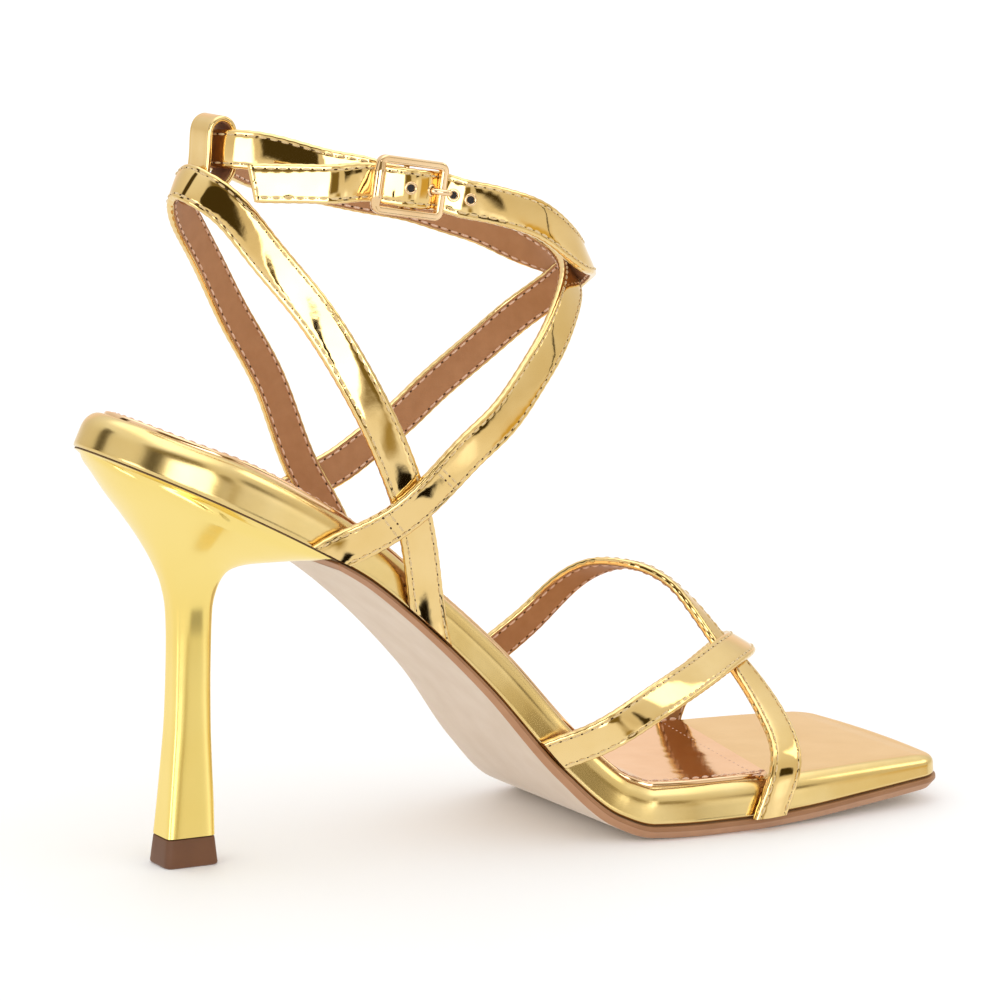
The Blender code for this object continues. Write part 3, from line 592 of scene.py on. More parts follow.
def ease(known_at: Array, known: Array, at: Array) -> Array:
    """Carry values smoothly between known ones, without overshoot.

    Each gap is a cubic whose end slopes are the weighted harmonic mean of the slopes beside
    them, or zero where the values turn.

    Args:
        known_at: where the values are known, rising.
        known: the values, or rows of values.
        at: where they are wanted.

    Returns:
        The values there.
    """
    known = known.reshape(len(known_at), -1)
    step = np.diff(known_at)[:, None]
    slope = np.diff(known, axis=0) / step
    before, after = slope[:-1], slope[1:]
    weight_a = 2 * step[1:] + step[:-1]
    weight_b = step[1:] + 2 * step[:-1]
    same_way = before * after > 0
    safe_before = np.where(same_way, before, 1.0)
    safe_after = np.where(same_way, after, 1.0)
    harmonic = (weight_a + weight_b) / (weight_a / safe_before + weight_b / safe_after)
    tangent = np.concatenate([slope[:1], np.where(same_way, harmonic, 0.0), slope[-1:]])
    cell = np.clip(np.searchsorted(known_at, at, side="right") - 1, 0, len(step) - 1)
    width = step[cell]
    t = np.clip((at[:, None] - known_at[cell][:, None]) / width, 0.0, 1.0)
    return (
        known[cell] * (1 + 2 * t) * (1 - t) ** 2
        + known[cell + 1] * t * t * (3 - 2 * t)
        + width * tangent[cell] * t * (1 - t) ** 2
        - width * tangent[cell + 1] * t * t * (1 - t)
    )


def lengths_along(line: Array) -> Array:
    """Return the length from a line's first point to each of its points."""
    return np.concatenate([[0.0], np.cumsum(np.linalg.norm(np.diff(line, axis=0), axis=1))])


def read_at(values: Array, reach: Array, at: Array) -> Array:
    """Read rows of values at any length, straight between the known rows.

    Args:
        values: one row for each known length.
        reach: the known lengths, rising.
        at: the lengths wanted.

    Returns:
        One row for each length wanted.
    """
    return np.stack([np.interp(at, reach, column) for column in values.T], axis=-1)


def full_turn(count: int) -> Array:
    """Return this many angles, evenly spaced round a circle."""
    return np.arange(count) / count * math.tau


def natural_curve(points: Array, steps: int) -> Array:
    """Carry a natural cubic spline through rows of points, spaced by their first three columns.

    The second derivatives solve the usual three-banded system and are zero at both ends.

    Args:
        points: one row per knot: x, y, z and any more values to carry along.
        steps: stations in each gap.

    Returns:
        The rows at every station.
    """
    gap = np.diff(lengths_along(points[:, :3]))
    count = len(points)
    system = np.eye(count)
    inside = np.arange(1, count - 1)
    system[inside, inside - 1] = gap[:-1]
    system[inside, inside] = 2 * (gap[:-1] + gap[1:])
    system[inside, inside + 1] = gap[1:]
    rise = np.diff(points, axis=0) / gap[:, None]
    right = np.zeros_like(points)
    right[1:-1] = 6 * np.diff(rise, axis=0)
    bend = np.linalg.solve(system, right)
    b = (np.arange(steps) / steps)[None, :, None]
    a = 1 - b
    width = gap[:, None, None]
    low, high = points[:-1, None], points[1:, None]
    bent = ((a**3 - a) * bend[:-1, None] + (b**3 - b) * bend[1:, None]) * width**2 / 6
    inner = (a * low + b * high + bent).reshape(-1, points.shape[1])
    return np.concatenate([inner, points[-1:]])


def unit(vectors: Array) -> Array:
    """Return the vectors at length one."""
    return vectors / np.linalg.norm(vectors, axis=-1, keepdims=True)


def quads_between(levels: int, around: int, closed: bool = True) -> Array:
    """Join stacked rows of points with quads, each between two rows and two columns.

    Args:
        levels: how many rows are stacked.
        around: how many points each row has.
        closed: whether the last column joins the first.

    Returns:
        One row of four point numbers for each face.
    """
    i = np.arange(levels - 1)[:, None]
    j = np.arange(around if closed else around - 1)[None, :]
    k = (j + 1) % around
    corners = (i * around + j, i * around + k, (i + 1) * around + k, (i + 1) * around + j)
    return np.stack(np.broadcast_arrays(*corners), axis=-1).reshape(-1, 4)


def copies_of(points: Array, faces: Array, count: int) -> Array:
    """Return the faces of a small shape repeated count times, one after the other."""
    shift = np.arange(count)[:, None, None] * len(points)
    return (faces[None] + shift).reshape(-1, faces.shape[1])


def build(
    name: str, points: Array, faces: list[Array], finishes: list[Finish],
    nodes: tuple[str, ...] = (), choice: Array | None = None, crease: float = CREASE_DEGREES,
) -> None:
    """Put arrays into a mesh, dress it and let it ride on the frame.

    Args:
        name: the piece's name.
        points: one row per point, in metres.
        faces: arrays of quads or triangles.
        finishes: the materials of the piece.
        nodes: the CAD nodes that the piece stands for.
        choice: which finish each face has, in the order of faces.
        crease: the angle in degrees past which an edge stays sharp.
    """
    merge_distance = 0.0005 * MM
    rows = [row for block in faces for row in block.tolist()]
    mesh = bpy.data.meshes.new(name)
    mesh.from_pydata(points.reshape(-1, 3).tolist(), [], rows)
    for finish in finishes:
        mesh.materials.append(finish.material())
    if choice is not None:
        mesh.polygons.foreach_set("material_index", choice.astype(np.int32))
    shape = bmesh.new()
    shape.from_mesh(mesh)
    bmesh.ops.remove_doubles(shape, verts=shape.verts, dist=merge_distance)
    bmesh.ops.recalc_face_normals(shape, faces=shape.faces)
    shape.to_mesh(mesh)
    shape.free()
    mesh.polygons.foreach_set("use_smooth", np.ones(len(mesh.polygons), dtype=bool))
    mesh.set_sharp_from_angle(angle=math.radians(crease))
    mesh.update()
    piece = bpy.data.objects.new(name, mesh)
    bpy.context.scene.collection.objects.link(piece)
    if nodes:
        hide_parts(*nodes)
    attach(piece, "root")
    LOG.info("%s: %d faces", name, len(mesh.polygons))


class Bed:
    """The curved surface that the shoe is built on: the top of the outsole."""

    STATIONS = 2001
    CUP = 0.118
    CUP_FROM_DEGREES = 24
    CUP_ROWS = 24
    TOE_CORNER = 6.5 * MM
    CORNER_ROWS = 12
    TOE_BOW = 1.2 * MM

    def __init__(self) -> None:
        """Measure the bed's middle line once, in fine steps."""
        self.table = columns_of(BED_COLUMNS, BED_ROWS)
        self.share = np.linspace(0.0, 1.0, self.STATIONS)
        self.x = HEEL_BACK + SHOE_LENGTH * self.share
        self.z = HEEL_RISE * self.column("rise", self.share)
        self.reach = np.concatenate([[0.0], np.cumsum(np.hypot(np.diff(self.x), np.diff(self.z)))])
        self.slope = np.gradient(self.z, self.x)

    def column(self, name: str, along: Array) -> Array:
        """Return one column of the bed's table at these shares of the length."""
        at = np.clip(np.asarray(along, dtype=float), 0.0, 1.0)
        return ease(self.table["along"], self.table[name], at.ravel()).reshape(at.shape)

    def place(self, reach: Array, side: Array, height: Array) -> Array:
        """Find points over the bed: along its line, then sideways, then square to it.

        Past either end of its line the bed carries straight on.

        Args:
            reach: the length along the bed's line, from the heel.
            side: the offset to the inner side.
            height: the height square to the bed.

        Returns:
            The points, in metres.
        """
        over = np.clip(reach, 0.0, self.reach[-1])
        x = np.interp(over, self.reach, self.x)
        z = np.interp(over, self.reach, self.z)
        span = 1.5 * MM
        ahead, behind = np.clip(over + span, 0, self.reach[-1]), np.clip(over - span, 0, self.reach[-1])
        run = np.interp(ahead, self.reach, self.x) - np.interp(behind, self.reach, self.x)
        climb = np.interp(ahead, self.reach, self.z) - np.interp(behind, self.reach, self.z)
        size = np.hypot(run, climb)
        run, climb = run / size, climb / size
        beyond = reach - over
        x = x + beyond * run - height * climb
        z = z + beyond * climb + height * run
        return np.stack([x, np.broadcast_to(side, x.shape), z], axis=-1)

    def clearance(self, points: Array) -> Array:
        """Return how high points lie over the bed, square to it."""
        lift = points[..., 2] - np.interp(points[..., 0], self.x, self.z)
        return lift / np.sqrt(1 + np.interp(points[..., 0], self.x, self.slope) ** 2)

    def width(self, side: str, along: Array) -> Array:
        """Return the half width of the outline, drawn in to a half round at the heel's back."""
        from_back = np.clip(1 - along / self.CUP, 0.0, 1.0)
        return BALL_WIDTH * self.column(side, along) * np.sqrt(1 - from_back**2)

    def outline(
        self, rows: int, columns: int, inset: Array | float, back: float = 0.0,
        front: tuple[float, float] = (1.0, 1.0), corner: float = TOE_CORNER, bow: float = TOE_BOW,
    ) -> tuple[Array, Array]:
        """Draw the shoe's outline, or a stretch of it, as one closed ring.

        The half widths follow the bed's table, quarter rounds soften the toe's corners, the toe
        bows forward in the middle, and every point then moves in by the inset, square to the ring.

        Args:
            rows: points along each side.
            columns: points across the back and the front.
            inset: how far in, or out where negative.
            back: the share of the length where the ring starts.
            front: the shares where its outer and inner sides end.
            corner: the radius of the front's corners.
            bow: how far the front's middle stands ahead.

        Returns:
            The ring's reach and side, and its share of the length.
        """
        share = self.spread(rows, back == 0.0, corner / SHOE_LENGTH)
        across = np.linspace(-1, 1, columns)
        sides = []
        for name, sign, stop in (("outer", -1, front[0]), ("inner", 1, front[1])):
            along = back + share * (stop - back)
            width = self.width(name, along)
            if corner > 0:
                from_front = np.clip((stop - along) * SHOE_LENGTH, 0, corner)
                width = width - corner + np.sqrt(corner**2 - (corner - from_front) ** 2)
            sides.append(np.stack([along, sign * width], axis=-1))
        outer, inner = sides
        mix = (across[:, None] + 1) / 2
        ends = [outer[row] * (1 - mix) + inner[row] * mix for row in (0, -1)]
        if back == 0.0:
            widest = np.where(across < 0, self.column("outer", 0.0), self.column("inner", 0.0))
            ends[0][:, 0] = self.CUP * (1 - np.sqrt(1 - (ends[0][:, 1] / (BALL_WIDTH * widest)) ** 2))
        ends[1][:, 0] += bow / SHOE_LENGTH * (1 - across**2)
        ring = np.concatenate([ends[0], inner[1:-1], ends[1][::-1], outer[-2:0:-1]])
        reach = np.interp(ring[:, 0], self.share, self.reach) + np.clip(ring[:, 0] - 1, 0, None) * SHOE_LENGTH
        flat = np.stack([reach, ring[:, 1]], axis=-1)
        tangent = np.roll(flat, -1, axis=0) - np.roll(flat, 1, axis=0)
        inward = unit(np.stack([tangent[:, 1], -tangent[:, 0]], axis=-1))
        return flat + np.asarray(inset).reshape(-1, 1) * inward, ring[:, 0]

    def spread(self, rows: int, cupped: bool, corner: float) -> Array:
        """Place rows from 0 to 1, closer together round the heel's back and the corners.

        Args:
            rows: how many rows there are.
            cupped: whether the first of them run round the heel's back.
            corner: the corners' radius as a share of the length, or zero.

        Returns:
            The places, rising.
        """
        parts = []
        start, stop, body = 0.0, 1.0, rows
        if cupped:
            turn = np.radians(np.linspace(self.CUP_FROM_DEGREES, 90, self.CUP_ROWS + 1))[:-1]
            parts.append(self.CUP * (1 - np.cos(turn)))
            start = self.CUP
            body -= self.CUP_ROWS
        late = np.zeros(0)
        if corner > 0:
            turn = np.radians(np.linspace(0, 90, self.CORNER_ROWS + 1))[1:]
            late = 1 - corner * (1 - np.sin(turn))
            stop = 1 - corner
            body -= self.CORNER_ROWS
        return np.concatenate([*parts, np.linspace(start, stop, body), late])

    def ring(self, flat: Array, height: Array | float) -> Array:
        """Return the 3-D points of a flat ring at this height over the bed."""
        return self.place(flat[:, 0], flat[:, 1], np.broadcast_to(height, flat[:, 0].shape))


BED = Bed()


@dataclass(frozen=True)
class RingStack:
    """A closed solid of stacked rings whose two ends are grids of rows and columns."""

    rings: Array
    rows: int
    columns: int

    def end_grid(self, level: int) -> Array:
        """Lay a grid inside one end ring: straight lines from its outer to its inner side.

        Args:
            level: 0 for the first ring or -1 for the last.

        Returns:
            Points of shape rows by columns by 3.
        """
        ring = self.rings[level]
        rows, columns = self.rows, self.columns
        outer = ring[(len(ring) - np.arange(rows)) % len(ring)]
        inner = ring[columns - 1 + np.arange(rows)]
        mix = np.linspace(0, 1, columns)[None, :, None]
        grid = outer[:, None] * (1 - mix) + inner[:, None] * mix
        grid[0] = ring[:columns]
        grid[-1] = ring[columns + rows - 2 + np.arange(columns)][::-1]
        return grid

    def surface(self) -> tuple[Array, list[Array]]:
        """Join the rings by a wall and close both ends.

        Returns:
            The points, and the faces of the wall, the first end and the last end.
        """
        levels, around = self.rings.shape[:2]
        points = [self.rings.reshape(-1, 3)]
        faces = [quads_between(levels, around)]
        start = levels * around
        for level in (0, -1):
            grid = self.end_grid(level)
            points.append(grid.reshape(-1, 3))
            faces.append(quads_between(self.rows, self.columns, closed=False) + start)
            start += self.rows * self.columns
        return np.concatenate(points), faces

    def build(
        self, name: str, finish: Finish, slot: str, nodes: tuple[str, ...] = (),
        crease: float = CREASE_DEGREES,
    ) -> None:
        """Make the solid into a piece of one finish.

        Args:
            name: the piece's name.
            finish: its material.
            nodes: the CAD nodes that the piece stands for.
            crease: the angle in degrees past which an edge stays sharp.
        """
        points, faces = self.surface()
        build(name, points, faces, [finish], nodes, crease=crease)


@dataclass
class Sole:
    """The outsole under the forefoot and arch, with a painted edge over a bevel."""

    thickness: float = 3.2 * MM
    start: float = 0.246
    rows: int = 150
    columns: int = 25

    def build(self) -> None:
        """Stack rings from the tread up, with a rounded tread edge, a bevel and a straight edge."""
        insets_and_depths = (
            (1.9, 1.00), (1.45, 1.00), (1.3, 0.985), (1.15, 0.95), (0.35, 0.66), (0.2, 0.60),
            (-0.2, 0.44), (-0.4, 0.39), (-0.5, 0.33), (-0.5, 0.08), (-0.42, 0.02), (-0.3, 0.0),
        )
        rings = []
        for inset, depth in insets_and_depths:
            flat, along = BED.outline(self.rows, self.columns, inset * MM, back=self.start)
            rings.append(BED.ring(flat, -depth * self.thickness * BED.column("sole", along)))
        stack = RingStack(np.stack(rings), self.rows, self.columns)
        points, faces = stack.surface()
        around = stack.rings.shape[1]
        finishes = [SOLE_EDGE, SOLE_BEVEL, SOLE_UNDER]
        edge, bevel, under = range(len(finishes))
        band = np.repeat([under] * 2 + [bevel] * 5 + [edge] * 4, around)
        choice = np.concatenate([band, np.full(len(faces[1]), under), np.full(len(faces[2]), edge)])
        build("outsole_sheet", points, faces, finishes, ("outsole",), choice)


@dataclass
class Platform:
    """The foil-wrapped platform that carries the foot, and the stitched sock on it."""

    thickness: float = 9.0 * MM
    rounding: float = 3.4 * MM
    sock_inset: float = 3.9 * MM
    sock_thickness: float = 1.0 * MM
    board_inset: float = 0.6 * MM
    board_gap: float = 0.03 * MM
    straight: float = 0.52
    stitch_inset: float = 1.9 * MM
    sock_end: tuple[float, float] = (0.765, 0.822)
    rows: int = 190
    columns: int = 31

    def wrap(self) -> None:
        """Stack rings up the straight share of the side and over a rounded top edge."""
        levels = [(0.9 * MM, 0.0), (0.45 * MM, 0.01), (0.12 * MM, 0.04), (0.0, 0.09)]
        levels += [(0.0, share) for share in np.linspace(0.14, self.straight, 6)]
        for turn in np.radians(np.linspace(0, 90, 13))[1:]:
            share = self.straight + (1 - self.straight) * np.sin(turn)
            levels.append((self.rounding * (1 - np.cos(turn)), share))
        rings = []
        for inset, share in levels:
            flat, along = BED.outline(self.rows, self.columns, inset)
            rings.append(BED.ring(flat, GAP + share * self.thickness * BED.column("rim", along)))
        stack = RingStack(np.stack(rings), self.rows, self.columns)
        stack.build("platform_wrap", WRAP_FOIL, "gold_foil", ("insole_rim",), crease=60)

    def board(self) -> None:
        """Lay the dark edge of the insole board in the seam under the wrap; its dark brown is also painted
        shade for that seam.
        """
        # The dark strip paints the shade in the seam's crack as well as showing the board's edge.
        flat, _ = BED.outline(self.rows, self.columns, self.board_inset)
        rings = [BED.ring(flat, height) for height in (self.board_gap, GAP - self.board_gap)]
        stack = RingStack(np.stack(rings), self.rows, self.columns)
        stack.build("insole_board_edge_and_seam_shade", BOARD_EDGE_AND_SEAM_SHADE, "tip_brown")

    def sock_ring(self, inset: float, height: float) -> tuple[Array, Array]:
        """Draw one ring of the sock.

        Args:
            inset: how far in from the sock's edge.
            height: how high over the platform's top.

        Returns:
            The flat ring, and its height over the bed at each point.
        """
        flat, along = BED.outline(
            self.rows, self.columns, self.sock_inset + inset, front=self.sock_end, corner=0.0, bow=0.0
        )
        return flat, GAP + self.thickness * BED.column("rim", along) + height

    def sock(self) -> None:
        """Lay the sock lining with a rolled edge and a slanted front."""
        rings = []
        for inset, share in ((0.0, 0.04), (0.0, 0.45), (0.08, 0.7), (0.25, 0.9), (0.5, 0.99), (0.8, 1.0)):
            flat, height = self.sock_ring(inset * MM, share * self.sock_thickness)
            rings.append(BED.ring(flat, height))
        stack = RingStack(np.stack(rings), self.rows, self.columns)
        stack.build("sock_lining", SOCK_FOIL, "sock_foil", ("sock",), crease=50)

    def sock_stitches(self) -> None:
        """Sew round the sock a little in from its edge."""
        flat, height = self.sock_ring(self.stitch_inset, self.sock_thickness)
        line = BED.ring(flat, height)
        up = unit(BED.ring(flat, height + 1 * MM) - line)
        sewing = Sewing("sock_stitches", LINING_THREAD, "sock_foil")
        sewing.along(line, up, Seam(closed=True))
        sewing.build()

    def build(self) -> None:
        """Make the wrap, the board's edge with the painted seam shade, the sock and its seam."""
        self.wrap()
        self.board()
        self.sock()
        self.sock_stitches()


@dataclass(frozen=True)
class Seam:
    """A row of stitches: how far apart, how long and thick each is, and how it lies.

    Dive is how deep a stitch's ends go as a share of its radius, tail is where its points lie
    as a share of the half stitch, and a taper of 1 would end it in a point.
    """

    pitch: float = 2.7 * MM
    stitch: float = 2.1 * MM
    radius: float = 0.25 * MM
    lift: float = 0.08 * MM
    dive: float = 1.4
    taper: float = 0.985
    tail: float = 1.02
    sides: int = 6
    hole_sides: int = 8
    hole_length: float = 0.36 * MM
    hole_width: float = 0.25 * MM
    hole_lift: float = 0.06 * MM
    closed: bool = False


def stitch_shape(seam: Seam) -> tuple[Array, Array]:
    """Make one stitch: a short thread that arches up and dives into the cloth at both ends.

    With t from -1 to 1 along it, the middle line stands at lift - dive r t^4 and the radius is
    r sqrt(1 - (taper t)^4), so the thread stays level and full until close to its ends.

    Args:
        seam: the seam's sizes.

    Returns:
        Points as along, across and up, and faces as quads.
    """
    along = np.array([-1.0, -0.8, -0.3, 0.3, 0.8, 1.0])
    turn = full_turn(seam.sides)
    thick = seam.radius * np.sqrt(np.clip(1 - (seam.taper * along) ** 4, 0, 1))
    arch = seam.lift - seam.dive * seam.radius * along**4
    grid = np.stack([
        np.broadcast_to(along[:, None] * seam.stitch / 2, (len(along), len(turn))),
        thick[:, None] * np.cos(turn),
        arch[:, None] + thick[:, None] * np.sin(turn),
    ], axis=-1)
    ends = np.array([(end * seam.stitch / 2 * seam.tail, 0.0, arch[0]) for end in (-1, 1)])
    points = np.concatenate([grid.reshape(-1, 3), ends])
    return points, np.concatenate([quads_between(len(along), len(turn)), pole_fans(len(along), len(turn))])


def hole_shape(seam: Seam) -> tuple[Array, Array]:
    """Make one needle hole as it looks from outside: a small dark lens that lies on the cloth.

    Args:
        seam: the seam's sizes.

    Returns:
        Points as along, across and up, and triangles as quads whose last two corners are one.
    """
    turn = full_turn(seam.hole_sides)
    ring = np.stack([seam.hole_length * np.cos(turn), seam.hole_width * np.sin(turn), 0 * turn], axis=-1)
    poles = np.array([(0.0, 0.0, -seam.hole_lift), (0.0, 0.0, seam.hole_lift)])
    return np.concatenate([ring, poles]), pole_fans(1, seam.hole_sides)


def pole_fans(levels: int, around: int) -> Array:
    """Join the first and last ring of a shape to the two poles that follow its rings.

    Args:
        levels: how many rings there are.
        around: how many points each has.

    Returns:
        Triangles as quads whose last two corners are one.
    """
    j = np.arange(around)
    k = (j + 1) % around
    last = around * (levels - 1)
    first_pole = np.full(around, around * levels)
    return np.concatenate([
        np.stack([k, j, first_pole, first_pole], axis=-1),
        np.stack([last + j, last + k, first_pole + 1, first_pole + 1], axis=-1),
    ])


def as_faces(quads: Array) -> list[Array]:
    """Split quads from those whose last two corners are one, which become triangles."""
    three = quads[:, 2] == quads[:, 3]
    return [quads[~three], quads[three][:, :3]]


@dataclass
class Sewing:
    """One piece of sewing, gathered seam by seam: threads, and the needle holes between them."""

    name: str
    thread: Finish
    slot: str

    def __post_init__(self) -> None:
        """Start with nothing sewn."""
        self.points: list[Array] = []
        self.quads: list[Array] = []
        self.is_hole: list[Array] = []

    def along(self, line: Array, up: Array, seam: Seam) -> None:
        """Sew along a line, evenly spaced by its length, with a hole at both ends of each stitch.

        Args:
            line: points of the seam's line.
            up: the surface's direction at each.
            seam: the seam's sizes.
        """
        if seam.closed:
            line, up = np.concatenate([line, line[:1]]), np.concatenate([up, up[:1]])
        reach = lengths_along(line)
        count = max(1, round(reach[-1] / seam.pitch))
        threads = (np.arange(count) + 0.5) / count * reach[-1]
        holes = np.arange(count + (0 if seam.closed else 1)) / count * reach[-1]
        for at, (shape, quads), dark in ((threads, stitch_shape(seam), 0), (holes, hole_shape(seam), 1)):
            self.put(line, up, reach, at, shape, quads, dark)

    def put(
        self, line: Array, up: Array, reach: Array, at: Array, shape: Array, quads: Array, dark: int
    ) -> None:
        """Put one copy of a shape at each length along a line.

        Args:
            line: points of the seam's line.
            up: the surface's direction at each.
            reach: the length at each.
            at: the lengths where the copies go.
            shape: the shape's points as along, across and up.
            quads: its faces.
            dark: 1 for needle holes and 0 for thread.
        """
        half = 0.8 * MM
        middle, face = read_at(line, reach, at), read_at(up, reach, at)
        ahead = unit(read_at(line, reach, at + half) - read_at(line, reach, at - half))
        face = unit(face - (face * ahead).sum(axis=-1, keepdims=True) * ahead)
        side = np.cross(face, ahead)
        points = (
            middle[:, None]
            + ahead[:, None] * shape[None, :, :1]
            + side[:, None] * shape[None, :, 1:2]
            + face[:, None] * shape[None, :, 2:]
        )
        copies = copies_of(shape, quads, len(at))
        self.quads.append(copies + sum(len(block) for block in self.points))
        self.points.append(points.reshape(-1, 3))
        self.is_hole.append(np.full(len(copies), dark))

    def build(self) -> None:
        """Make the piece."""
        quads, is_hole = np.concatenate(self.quads), np.concatenate(self.is_hole)
        three = quads[:, 2] == quads[:, 3]
        choice = np.concatenate([is_hole[~three], is_hole[three]])
        finishes = [self.thread, NEEDLE_HOLE]
        build(self.name, np.concatenate(self.points), as_faces(quads), finishes, choice=choice)


@dataclass
class Heel:
    """The slim plated heel and its rubber tip.

    Each tip row is a height in millimetres and a scale on the heel's first section.
    """

    tip_rows: tuple[tuple[float, float], ...] = (
        (0.0, 1.02), (0.12, 1.06), (0.35, 1.095), (0.7, 1.10), (6.4, 1.0), (6.7, 0.99), (6.8, 0.97),
    )
    seat_inset: float = 0.6 * MM
    seat_end: float = 0.238
    rows: int = 61
    columns: int = 25
    levels: int = 90

    def section(self, values: Array) -> Array:
        """Draw one section: a tilted superellipse whose back and front halves differ in squareness.

        Args:
            values: one row of the heel's table.

        Returns:
            The ring's points.
        """
        part = dict(zip(HEEL_COLUMNS, values))
        across = np.linspace(-1, 1, self.columns)
        down = np.linspace(-1, 1, self.rows)
        inner, outer = down[1:-1], down[-2:0:-1]
        box = np.concatenate([
            np.stack([np.full(self.columns, -1.0), across], axis=-1),
            np.stack([inner, np.ones(len(inner))], axis=-1),
            np.stack([np.ones(self.columns), across[::-1]], axis=-1),
            np.stack([outer, -np.ones(len(outer))], axis=-1),
        ])
        turn = np.arctan2(box[:, 1], box[:, 0])
        p, q = np.cos(turn), np.sin(turn)
        to_front = np.clip(p * 4 + 0.5, 0, 1)
        square = part["back_square"] + (part["front_square"] - part["back_square"]) * to_front
        size = (np.abs(p) ** square + np.abs(q) ** square) ** (-1 / square)
        p, q = p * size, q * size
        back = np.array([part["back"], 0.0, part["back_rise"]])
        front = np.array([part["front"], 0.0, part["front_rise"]])
        sides = np.stack([np.zeros_like(q), q * part["half"], np.zeros_like(q)], axis=-1)
        return ((back + front) / 2 + p[:, None] * (front - back) / 2 + sides) * HEEL_RISE

    def stem(self) -> None:
        """Carry the sections up the heel by smooth curves, and end on the seat under the platform."""
        known = [self.section(np.array(row)) for row in HEEL_SECTIONS]
        ends = (self.seat_end, self.seat_end)
        flat, _ = BED.outline(self.rows, self.columns, self.seat_inset, front=ends, corner=0.0, bow=0.0)
        known.append(BED.ring(flat, 0.0))
        rings = np.stack(known)
        at = lengths_along(rings.mean(axis=1))
        wanted = np.linspace(0.0, at[-1], self.levels)
        carried = ease(at, rings.reshape(len(rings), -1), wanted).reshape(self.levels, -1, 3)
        stack = RingStack(carried, self.rows, self.columns)
        stack.build("heel_stem", HEEL_PLATING, "heel_gold", ("heel",), crease=48)

    def tip(self) -> None:
        """Stack the tip's rings from a softened tread edge to the stem."""
        first = np.array(HEEL_SECTIONS[0], dtype=float)
        rings = []
        for rise_mm, grow in self.tip_rows:
            row = first.copy()
            row[[0, 2, 4]] *= grow
            row[[1, 3]] = rise_mm * MM / HEEL_RISE
            rings.append(self.section(row))
        stack = RingStack(np.stack(rings), self.rows, self.columns)
        stack.build("heel_top_piece", TIP_RUBBER, "tip_brown", ("heel_tip",), crease=50)

    def build(self) -> None:
        """Make the stem and the tip."""
        self.stem()
        self.tip()


@dataclass(frozen=True)
class StrapCut:
    """The sizes of a strap's section: a folded foil edge round a flat lining."""

    width: float = 9.0 * MM
    thickness: float = STRAP_THICKNESS
    edge: float = 0.62 * MM
    crown: float = 0.16 * MM
    groove: float = 0.12 * MM
    groove_width: float = 0.3 * MM
    seam_inset: float = 1.2 * MM
    lining_inset: float = 0.5 * MM
    lining_lift: float = 0.1 * MM
    pucker: float = 0.05 * MM

    @property
    def seam_at(self) -> float:
        """Return how far from the strap's middle both seams run."""
        return self.width / 2 - self.seam_inset

    def is_outer(self, v: Array) -> Array:
        """Return whether each offset outward lies on the outer face."""
        return v >= self.thickness / 2 - TOUCH

    def beside_seam(self, u: Array) -> Array:
        """Return 1 where a seam runs, and less in a bell curve to both sides of it."""
        return np.exp(-(((np.abs(u) - self.seam_at) / self.groove_width) ** 2))

    def section(self) -> tuple[Array, Array, Array]:
        """Draw the section: a crowned outer face, round edges and a flat lined inner face.

        Returns:
            Offsets across and outward, and whether each stretch to the next point is lining.
        """
        half, thick, r = self.width / 2, self.thickness / 2, self.edge
        seam = self.seam_at
        near = np.array([-0.55, -0.3, 0.0, 0.3, 0.55]) * MM
        flat = np.linspace(-1, 1, 9)[1:-1] * (seam - 0.9 * MM)
        outer_u = np.concatenate([-seam + near, flat, seam + near])
        turn = np.radians(np.linspace(90, -90, 9))
        right_u, right_v = half - r + r * np.cos(turn), (thick - r) * np.sign(turn) + r * np.sin(turn)
        lined = half - self.lining_inset
        inner_u = np.array([lined + 0.12 * MM, lined, lined - 0.05 * MM, 0.5 * lined, 0.0])
        inner_v = np.array([0, 0, 1, 1, 1]) * -self.lining_lift - thick
        inner_u = np.concatenate([inner_u, -inner_u[-2::-1]])
        inner_v = np.concatenate([inner_v, inner_v[-2::-1]])
        u = np.concatenate([outer_u, right_u, inner_u, -right_u[::-1]])
        v = np.concatenate([np.full(len(outer_u), thick), right_v, inner_v, right_v[::-1]])
        lining = np.zeros(len(u), dtype=bool)
        start = len(outer_u) + len(right_u)
        lining[start + 1 : start + len(inner_u) - 2] = True
        return u, v, lining


def by_shares(rows: tuple) -> Array:
    """Turn a strap's table to knots.

    Args:
        rows: the table, with STRAP_COLUMNS.

    Returns:
        One row per knot: x, y and z in metres, then face and tilt in radians.
    """
    at = columns_of(STRAP_COLUMNS, rows)
    return np.stack([
        HEEL_BACK + SHOE_LENGTH * at["along"],
        BALL_WIDTH * at["side"],
        HEEL_RISE * at["rise"],
        np.radians(at["face"]),
        np.radians(at["tilt"]),
    ], axis=-1)


def at_buckle(along: Array | float, up: Array | float, out: Array | float) -> Array:
    """Find points that are given in the buckle's own frame.

    Args:
        along: forward along the strap, from the buckle's middle.
        up: up across the strap.
        out: outward from the foot.

    Returns:
        The points, in metres.
    """
    along, up, out = np.broadcast_arrays(*map(np.asarray, (along, up, out)))
    cos, sin = math.cos(BUCKLE_SLOPE), math.sin(BUCKLE_SLOPE)
    return BUCKLE_MIDDLE + np.stack([along * cos + up * sin, -out, -along * sin + up * cos], axis=-1)


def by_buckle(rows: tuple) -> Array:
    """Turn a table that is measured from the buckle's middle to knots.

    Args:
        rows: the table, with AT_BUCKLE_COLUMNS.

    Returns:
        One row per knot, as in by_shares.
    """
    at = columns_of(AT_BUCKLE_COLUMNS, rows)
    places = at_buckle(at["ahead"] * BUCKLE_LENGTH, at["up"] * BUCKLE_HEIGHT, at["out"] * STRAP_THICKNESS)
    return np.column_stack([places, np.radians(at["face"]), np.radians(at["tilt"])])


